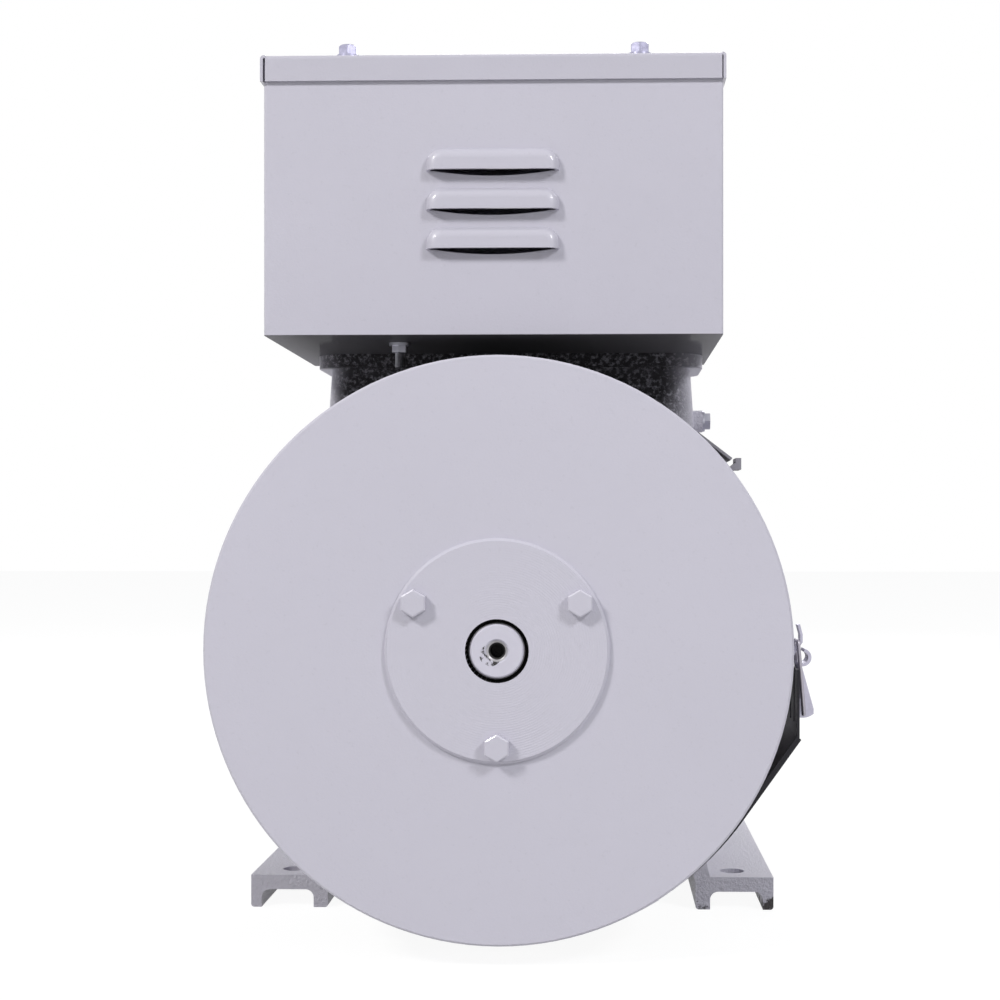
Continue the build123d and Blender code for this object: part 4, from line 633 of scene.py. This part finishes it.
zinc = metal("zinc_plate", (0.47, 0.47, 0.56), 0.34, cloud=0.20, tint=(0.60, 0.60, 0.66))
lid_zinc = metal("bluish_zinc", (0.30, 0.29, 0.40), 0.30, 300.0, 0.24, tint=(0.58, 0.57, 0.74))
latch_zinc = metal("latch_zinc", (0.42, 0.41, 0.50), 0.38, 260.0, 0.18, tint=(0.62, 0.60, 0.72), specks=0.14)
bail_metal = metal("bail_wire", (0.40, 0.38, 0.43), 0.42, 220.0, 0.2, specks=0.24)
bearing_steel = metal("bearing_steel", (0.62, 0.62, 0.63), 0.18, cloud=0.05)
brass = metal("slip_brass", (0.72, 0.48, 0.22), 0.26, cloud=0.08)
spring_metal = metal("spring_steel", (0.36, 0.35, 0.34), 0.30)
fan_alloy = metal("fan_alloy", (0.66, 0.66, 0.67), 0.46, 300.0, 0.1, grain=0.0001)
print("metals:", zinc.name, latch_zinc.name, fan_alloy.name)

# %% [markdown]
# The closed end was sprayed with the shaft in place, so the rear face of the shaft is painted too, and
# the paint has flaked below and left of its centre hole. The rest of the shaft is ground steel. One
# material does both: the place along y decides where paint ends and steel begins.

# %% Shaft, half painted
SPRAYED_DEPTH = 0.0008
HOLE_RINGS = {"Pitch": 0.0011, "Inner": 0.0, "Outer": 0.0052}
HOLE_RADIUS = 0.0045
HOLE_DEPTH = 0.03
HOLE_SHADE_AND_FLAKE_DARK = (0.02, 0.018, 0.018)
FLAKE_RADIUS = 0.0058
FLAKE_RIGHT = -0.0034
FLAKE_UP = -0.0022
FLAKE_SCALE = 330.0
FLAKE_MORE = 0.24
FLAKE_LEVEL = 0.735
FLAKE_EDGE = 16.0
STEEL_ROUGH = 0.30
DULL_ROUGH = 0.30
HOLE_RING_HEIGHT = 0.00003
FILM_HEIGHT = 0.00010

shaft_metal, tree, shader = new_material("shaft_steel")
space = object_space(tree)
along = axes(tree)["Y"]
sprayed = math_node(tree, "LESS_THAN", along, face_y + SPRAYED_DEPTH)
patch = disc_mask(tree, FLAKE_RADIUS, FLAKE_RIGHT, FLAKE_UP)
flake_level = plus(tree, noise_node(tree, space, FLAKE_SCALE, 6.0, 0.75), times(tree, patch, FLAKE_MORE))
flake = times(tree, minus(tree, flake_level, FLAKE_LEVEL), FLAKE_EDGE, clamp=True)
film_left = times(tree, sprayed, minus(tree, 1.0, flake))
# Painted shade: the centre hole is near-black down its depth; the same dark shows where the paint has flaked.
hole_painted_shade = times(tree, disc_mask(tree, HOLE_RADIUS),
                  math_node(tree, "LESS_THAN", along, face_y + HOLE_DEPTH))
dull = math_node(tree, "MAXIMUM", sprayed, hole_painted_shade)
steel_tone = mix_colours(tree, noise_node(tree, space, 70.0, 4.0, 0.6),
                         (0.48, 0.47, 0.49), (0.62, 0.61, 0.63))
under_tone = mix_colours(tree, dull, steel_tone, HOLE_SHADE_AND_FLAKE_DARK)
paint_tone = mix_colours(tree, noise_node(tree, space, 160.0, 4.0, 0.6),
                         shade(PAINT_GREY, 1.02), shade(PAINT_GREY, 1.12))
tree.links.new(minus(tree, 1.0, dull), shader.inputs["Metallic"])
hole_lathe = place_group(tree, rings_group, Axis_X=shaft_x, Axis_Z=shaft_z, **HOLE_RINGS)
relief = plus(tree, times(tree, hole_lathe.outputs["Height"], HOLE_RING_HEIGHT),
              times(tree, film_left, FILM_HEIGHT))
surface(tree, shader, mix_colours(tree, film_left, under_tone, paint_tone),
        plus(tree, times(tree, dull, DULL_ROUGH), STEEL_ROUGH), relief)
print("shaft: painted up to y", round(face_y + SPRAYED_DEPTH, 4))

# %% [markdown]
# The laminated cores are stacks of thin steel sheets, seen edge on as fine lines across the shaft line. A
# wave along y gives the stack its ribs. The windings are enamelled copper under baked varnish: a warm
# brown with the fine round ribs of the wires, which the same kind of wave makes. Screw threads are such
# ribs along z.


# %% Laminations, varnished wire and threads
def striped(name, dark, light, axis, pitch, depth, rough, metallic, coat=0.0):
    """Fine parallel ribs across one axis, for stacked sheets, wound wire and threads."""
    material, tree, shader = new_material(name)
    uneven = noise_node(tree, object_space(tree), 40.0, 3.0)
    turns = math_node(tree, "DIVIDE", axes(tree)[axis], pitch)
    turns = plus(tree, turns, times(tree, uneven, 0.5))
    rib = math_node(tree, "SINE", times(tree, turns, 2 * math.pi))
    share = plus(tree, times(tree, rib, 0.3), uneven, clamp=True)
    shader.inputs["Metallic"].default_value = metallic
    shader.inputs["Coat Weight"].default_value = coat
    surface(tree, shader, mix_colours(tree, share, dark, light),
            plus(tree, times(tree, uneven, 0.2), rough - 0.1), times(tree, rib, depth))
    return material


lamination = striped("laminated_steel", (0.11, 0.11, 0.12), (0.30, 0.30, 0.32), "Y",
                     pitch=0.0010, depth=0.00012, rough=0.42, metallic=0.8)
copper = striped("varnished_copper", (0.26, 0.085, 0.030), (0.48, 0.19, 0.075), "Y",
                 pitch=0.0014, depth=0.00025, rough=0.34, metallic=0.25, coat=0.6)
threaded_zinc = striped("threaded_zinc", (0.20, 0.20, 0.22), (0.60, 0.60, 0.66), "Z",
                        pitch=0.0008, depth=0.00016, rough=0.36, metallic=1.0)
print("ribbed finishes:", lamination.name, copper.name, threaded_zinc.name)

# %% [markdown]
# Rubber, carbon, moulded insulation and the black guard are dull and dark, and the inner race of the rear
# bearing is made near-black as painted shade in the gap round the shaft. They share the drift and the peel
# of the paint, take a little more dust, and shine less than paint does.

# %% Dark finishes
MATT_DUST_SHARE = 0.25
MATT_DUST_SHADE = 2.2
MATT_SHINE = 0.28


def matt(name, colour, rough, scale=500.0, depth=0.00004, patch=30.0, drift=0.2):
    """Dull, a little dusty, finely grained."""
    material, tree, shader = new_material(name)
    film = place_group(tree, drift_group, Patch_Scale=patch, Peel_Scale=scale)
    tone = mix_colours(tree, film.outputs["Drift"], shade(colour, 1 - drift), shade(colour, 1 + drift))
    dusty = times(tree, film.outputs["Dust"], MATT_DUST_SHARE)
    shader.inputs["Specular IOR Level"].default_value = MATT_SHINE
    surface(tree, shader, mix_colours(tree, dusty, tone, shade(colour, MATT_DUST_SHADE)),
            plus(tree, times(tree, film.outputs["Drift"], ROUGH_SPREAD), rough - ROUGH_SPREAD / 2),
            times(tree, film.outputs["Peel"], depth))
    return material


rubber = matt("black_rubber", (0.022, 0.022, 0.024), 0.62)
carbon = matt("brush_carbon", (0.035, 0.035, 0.037), 0.48, 700.0, 0.00008)
insulator = matt("moulded_insulator", (0.075, 0.045, 0.032), 0.40, 300.0, 0.00003)
black_sheet = matt("black_sheet", (0.016, 0.015, 0.020), 0.42, 650.0, 0.00010, 14.0, 0.25)
race_painted_shade = matt("bearing_race_painted_shade", (0.014, 0.013, 0.013), 0.55, 240.0, 0.00006)
print("dark finishes ready")

# %% [markdown]
# ## Dressing the solids
# Each solid keeps its shape and takes the finish of its slot. Two tables do it: one from slot to finish,
# and one for the few pieces that differ from the rest of their slot, such as the wire bail of the latch.

# %% Finishes by slot
finish_of_slot = {
    "cast_paint": cast_paint, "machined_paint": disc_paint, "sheet_paint": sheet_paint,
    "painted_bolt": bolt_paint, "zinc": zinc, "latch_steel": latch_zinc, "black_sheet": black_sheet,
    "bearing_steel": bearing_steel, "shaft_steel": shaft_metal, "slip_brass": brass,
    "spring_steel": spring_metal, "fan_alloy": fan_alloy, "lamination": lamination, "copper": copper,
    "rubber_seal": rubber, "carbon": carbon, "insulator": insulator,
}
# Painted shade: the inner race of the rear bearing takes a near-black finish so that the gap round the shaft
# reads dark.
finish_of_piece = {"latch_bail": bail_metal, "rear_bearing_inner_race": race_painted_shade, "earth_stud": threaded_zinc,
                   "lid_bolts": lid_zinc}
for part in frame["record"]["subparts"]:
    solid = nodes[part["node"]]
    finish = finish_of_piece.get(part["node"], finish_of_slot[part["material_slot"]])
    solid.data.materials.clear()
    solid.data.materials.append(finish)

# %% [markdown]
# ## Bolt heads on the boss
# The three heads that hold the bearing cap are pressed hexagons under a thick coat: flat faces, edges
# that the paint has rounded, and no washer. The built solids have the machined cone of a bare bolt, which
# reads as a round disc from the front. A hexagon from bmesh with a flat chamfer is nearer, and the plain
# shank goes on behind it. The helpers come first: they also serve the springs and the lid.


# %% Mesh helpers
def polygon(centre, radius, corners, start=0.0):
    """The corners of a regular polygon; start is the angle of the first one."""
    return [(centre[0] + radius * math.cos(start + 2 * math.pi * n / corners),
             centre[1] + radius * math.sin(start + 2 * math.pi * n / corners)) for n in range(corners)]


def band(work, front, back):
    """Join two closed loops of as many points."""
    for n, m in zip(range(len(front)), [*range(1, len(front)), 0]):
        work.faces.new((front[m], front[n], back[n], back[m]))


def stack(work, loops):
    """A closed body through loops of points, one behind the other."""
    work.faces.new(loops[0])
    work.faces.new(list(reversed(loops[-1])))
    for front, back in zip(loops, loops[1:]):
        band(work, front, back)


def prism(work, outline, start, end, axis="Y"):
    """A closed prism on an outline of (x, z) points along y, or of (y, z) points along x."""
    order = (lambda a, b, c: (a, c, b)) if axis == "Y" else (lambda a, b, c: (c, a, b))
    stack(work, [[work.verts.new(order(a, b, c)) for a, b in outline] for c in (start, end)])


def finish_mesh(name, work, material, body, smooth=False):
    """Turn a bmesh into a piece that has a finish and a body to ride on."""
    bmesh.ops.recalc_face_normals(work, faces=work.faces)
    mesh = bpy.data.meshes.new(name)
    work.to_mesh(mesh)
    work.free()
    piece = bpy.data.objects.new(name, mesh)
    scene.collection.objects.link(piece)
    mesh.materials.append(material)
    if smooth:
        for face in mesh.polygons:
            face.use_smooth = True
    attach(piece, body)
    return piece


print("mesh helpers ready")

# %% [markdown]
# The heads stand on the circle that the solid bolts have: the outermost flats of the upper two give its
# radius. A narrow bevel rounds every edge, as thick paint does.

# %% Painted hexagon heads
HEAD_FLATS = 0.013
HEAD_CORNERS = HEAD_FLATS / math.sqrt(3)
HEAD_HEIGHT = 0.0053
HEAD_TURN = math.radians(30)
SHANK_RADIUS = 0.0039
SHANK_SIDES = 24
CHAMFER = 0.0009
CHAMFER_DEPTH = 0.00045
PAINT_ROUNDING = 0.0002

heads_low, heads_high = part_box("rear_cap_bolts")
ring_radius = (heads_high[0] - heads_low[0] - HEAD_FLATS) / 2 / math.cos(HEAD_TURN)
work = bmesh.new()
for bolt_centre in polygon((shaft_x, shaft_z), ring_radius, 3, HEAD_TURN):
    face = polygon(bolt_centre, HEAD_CORNERS - CHAMFER, 6, HEAD_TURN)
    outline = polygon(bolt_centre, HEAD_CORNERS, 6, HEAD_TURN)
    levels = ((face, 0.0), (outline, CHAMFER_DEPTH), (outline, HEAD_HEIGHT))
    stack(work, [[work.verts.new((x, heads_low[1] + y, z)) for x, z in loop] for loop, y in levels])
    prism(work, polygon(bolt_centre, SHANK_RADIUS, SHANK_SIDES), heads_low[1] + HEAD_HEIGHT, heads_high[1])
cap_heads = finish_mesh("painted_cap_bolts", work, bolt_paint, body_of_node["rear_cap_bolts"])
rounding = cap_heads.modifiers.new("paint_rounding", "BEVEL")
rounding.width = PAINT_ROUNDING
rounding.segments = 3
rounding.limit_method = "ANGLE"
rounding.harden_normals = True
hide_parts("rear_cap_bolts")
print("three painted heads on a circle of radius", round(ring_radius, 4))

# %% [markdown]
# ## Brush springs
# Each carbon brush is pressed onto its slip ring by a small coil spring. A coil is a round wire swept
# along a helix: a ring of points is placed square to the helix at each step and joined to the one before.
# The first and last turns lie flat, as ground spring ends do. Each coil spans the height of the solid
# spring it stands in for, and rides on the frame.

# %% Coil springs
TURNS = 6.5
FLAT_TURNS = 0.8
WIRE_SHARE = 0.16
WIRE_POINTS = 8
STEPS_PER_TURN = 20


def coil(work, centre, radius, wire, low, high):
    """Sweep a round wire along a helix between two heights; the end turns lie flat."""
    steps = int(TURNS * STEPS_PER_TURN)
    loops = []
    for n in range(steps + 1):
        turn = TURNS * n / steps
        rise = min(max((turn - FLAT_TURNS) / (TURNS - 2 * FLAT_TURNS), 0.0), 1.0)
        angle = 2 * math.pi * turn
        outward = Vector((math.cos(angle), math.sin(angle), 0.0))
        middle = Vector((*centre, low + wire + rise * (high - low - 2 * wire))) + outward * radius
        loops.append([work.verts.new(middle + outward * across + Vector((0, 0, 1)) * up)
                      for across, up in polygon((0, 0), wire, WIRE_POINTS)])
    stack(work, loops[::-1])


for number, slide in ((1, "brush_one_slide"), (2, "brush_two_slide")):
    node_name = "brush_spring_%d" % number
    low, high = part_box(node_name)
    outer = (high[0] - low[0]) / 2
    wire = outer * WIRE_SHARE
    work = bmesh.new()
    coil(work, ((low[0] + high[0]) / 2, (low[1] + high[1]) / 2), outer - wire, wire, low[2], high[2])
    spring = finish_mesh("coil_spring_%d" % number, work, spring_metal, "frame", smooth=True)
    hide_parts(node_name)
    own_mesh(spring)

# %% [markdown]
# ## Folded lid
# The lid is one sheet with its four sides folded down. The sides hang a little way out from the box, so
# from below a dark line shows between the two. At the corners the sides end in thin slits instead of
# welds, and the left ones gape more than the right. The sheet is drawn as its cut profile and run along
# the lid: an upside-down U for top, front and back, and an L for each end.

# %% Profiles of folded sheet
SHEET = 0.0016
FOLD_RADIUS = 0.0022
ARC_STEPS = 6


def fold(centre, radius, first, last):
    """Points of a bend from one angle to another, in degrees."""
    angles = [math.radians(first + (last - first) * n / ARC_STEPS) for n in range(ARC_STEPS + 1)]
    return [(centre[0] + radius * math.cos(a), centre[1] + radius * math.sin(a)) for a in angles]


def folded_u(near, far, bottom, top):
    """The cut profile of a sheet folded down at both ends."""
    inner = FOLD_RADIUS - SHEET
    near_bend = (near + FOLD_RADIUS, top - FOLD_RADIUS)
    far_bend = (far - FOLD_RADIUS, top - FOLD_RADIUS)
    outside = [(near, bottom)] + fold(near_bend, FOLD_RADIUS, 180, 90)
    outside += fold(far_bend, FOLD_RADIUS, 90, 0) + [(far, bottom)]
    inside = [(far - SHEET, bottom)] + fold(far_bend, inner, 0, 90)
    inside += fold(near_bend, inner, 90, 180) + [(near + SHEET, bottom)]
    return outside + inside


def folded_l(edge, towards, bottom, top, slit):
    """The cut profile of an end fold; towards is +1 if the lid lies at higher x."""
    inner = FOLD_RADIUS - SHEET
    reach = FOLD_RADIUS + slit
    bend = (edge + towards * FOLD_RADIUS, top - FOLD_RADIUS)
    side = 180 if towards > 0 else 0
    outside = [(edge, bottom)] + fold(bend, FOLD_RADIUS, side, 90) + [(edge + towards * reach, top)]
    inside = [(edge + towards * reach, top - SHEET)] + fold(bend, inner, 90, side)
    return outside + inside + [(edge + towards * SHEET, bottom)]


print("sheet", SHEET, "m thick, folded round", FOLD_RADIUS)

# %% [markdown]
# The dressed lid stays within the solid one, a fraction of a millimetre smaller at the front and at both
# ends.

# %% Lid from folded sheet
LEFT_SLIT = 0.0007
RIGHT_SLIT = 0.0001
LEFT_INSET = 0.0005
RIGHT_INSET = 0.0008
FRONT_INSET = 0.0002

lid_low, lid_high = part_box("box_lid")
lid_left, lid_right = lid_low[0] + LEFT_INSET, lid_high[0] - RIGHT_INSET
lid_front = lid_low[1] + FRONT_INSET
work = bmesh.new()
prism(work, folded_u(lid_front, lid_high[1], lid_low[2], lid_high[2]),
      lid_left + FOLD_RADIUS + LEFT_SLIT, lid_right - FOLD_RADIUS - RIGHT_SLIT, "X")
prism(work, folded_l(lid_left, 1, lid_low[2], lid_high[2], LEFT_SLIT), lid_front, lid_high[1])
prism(work, folded_l(lid_right, -1, lid_low[2], lid_high[2], RIGHT_SLIT), lid_front, lid_high[1])
lid = finish_mesh("folded_lid", work, lid_paint, "frame")
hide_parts("box_lid")
print("lid", round(lid_right - lid_left, 3), "m wide")
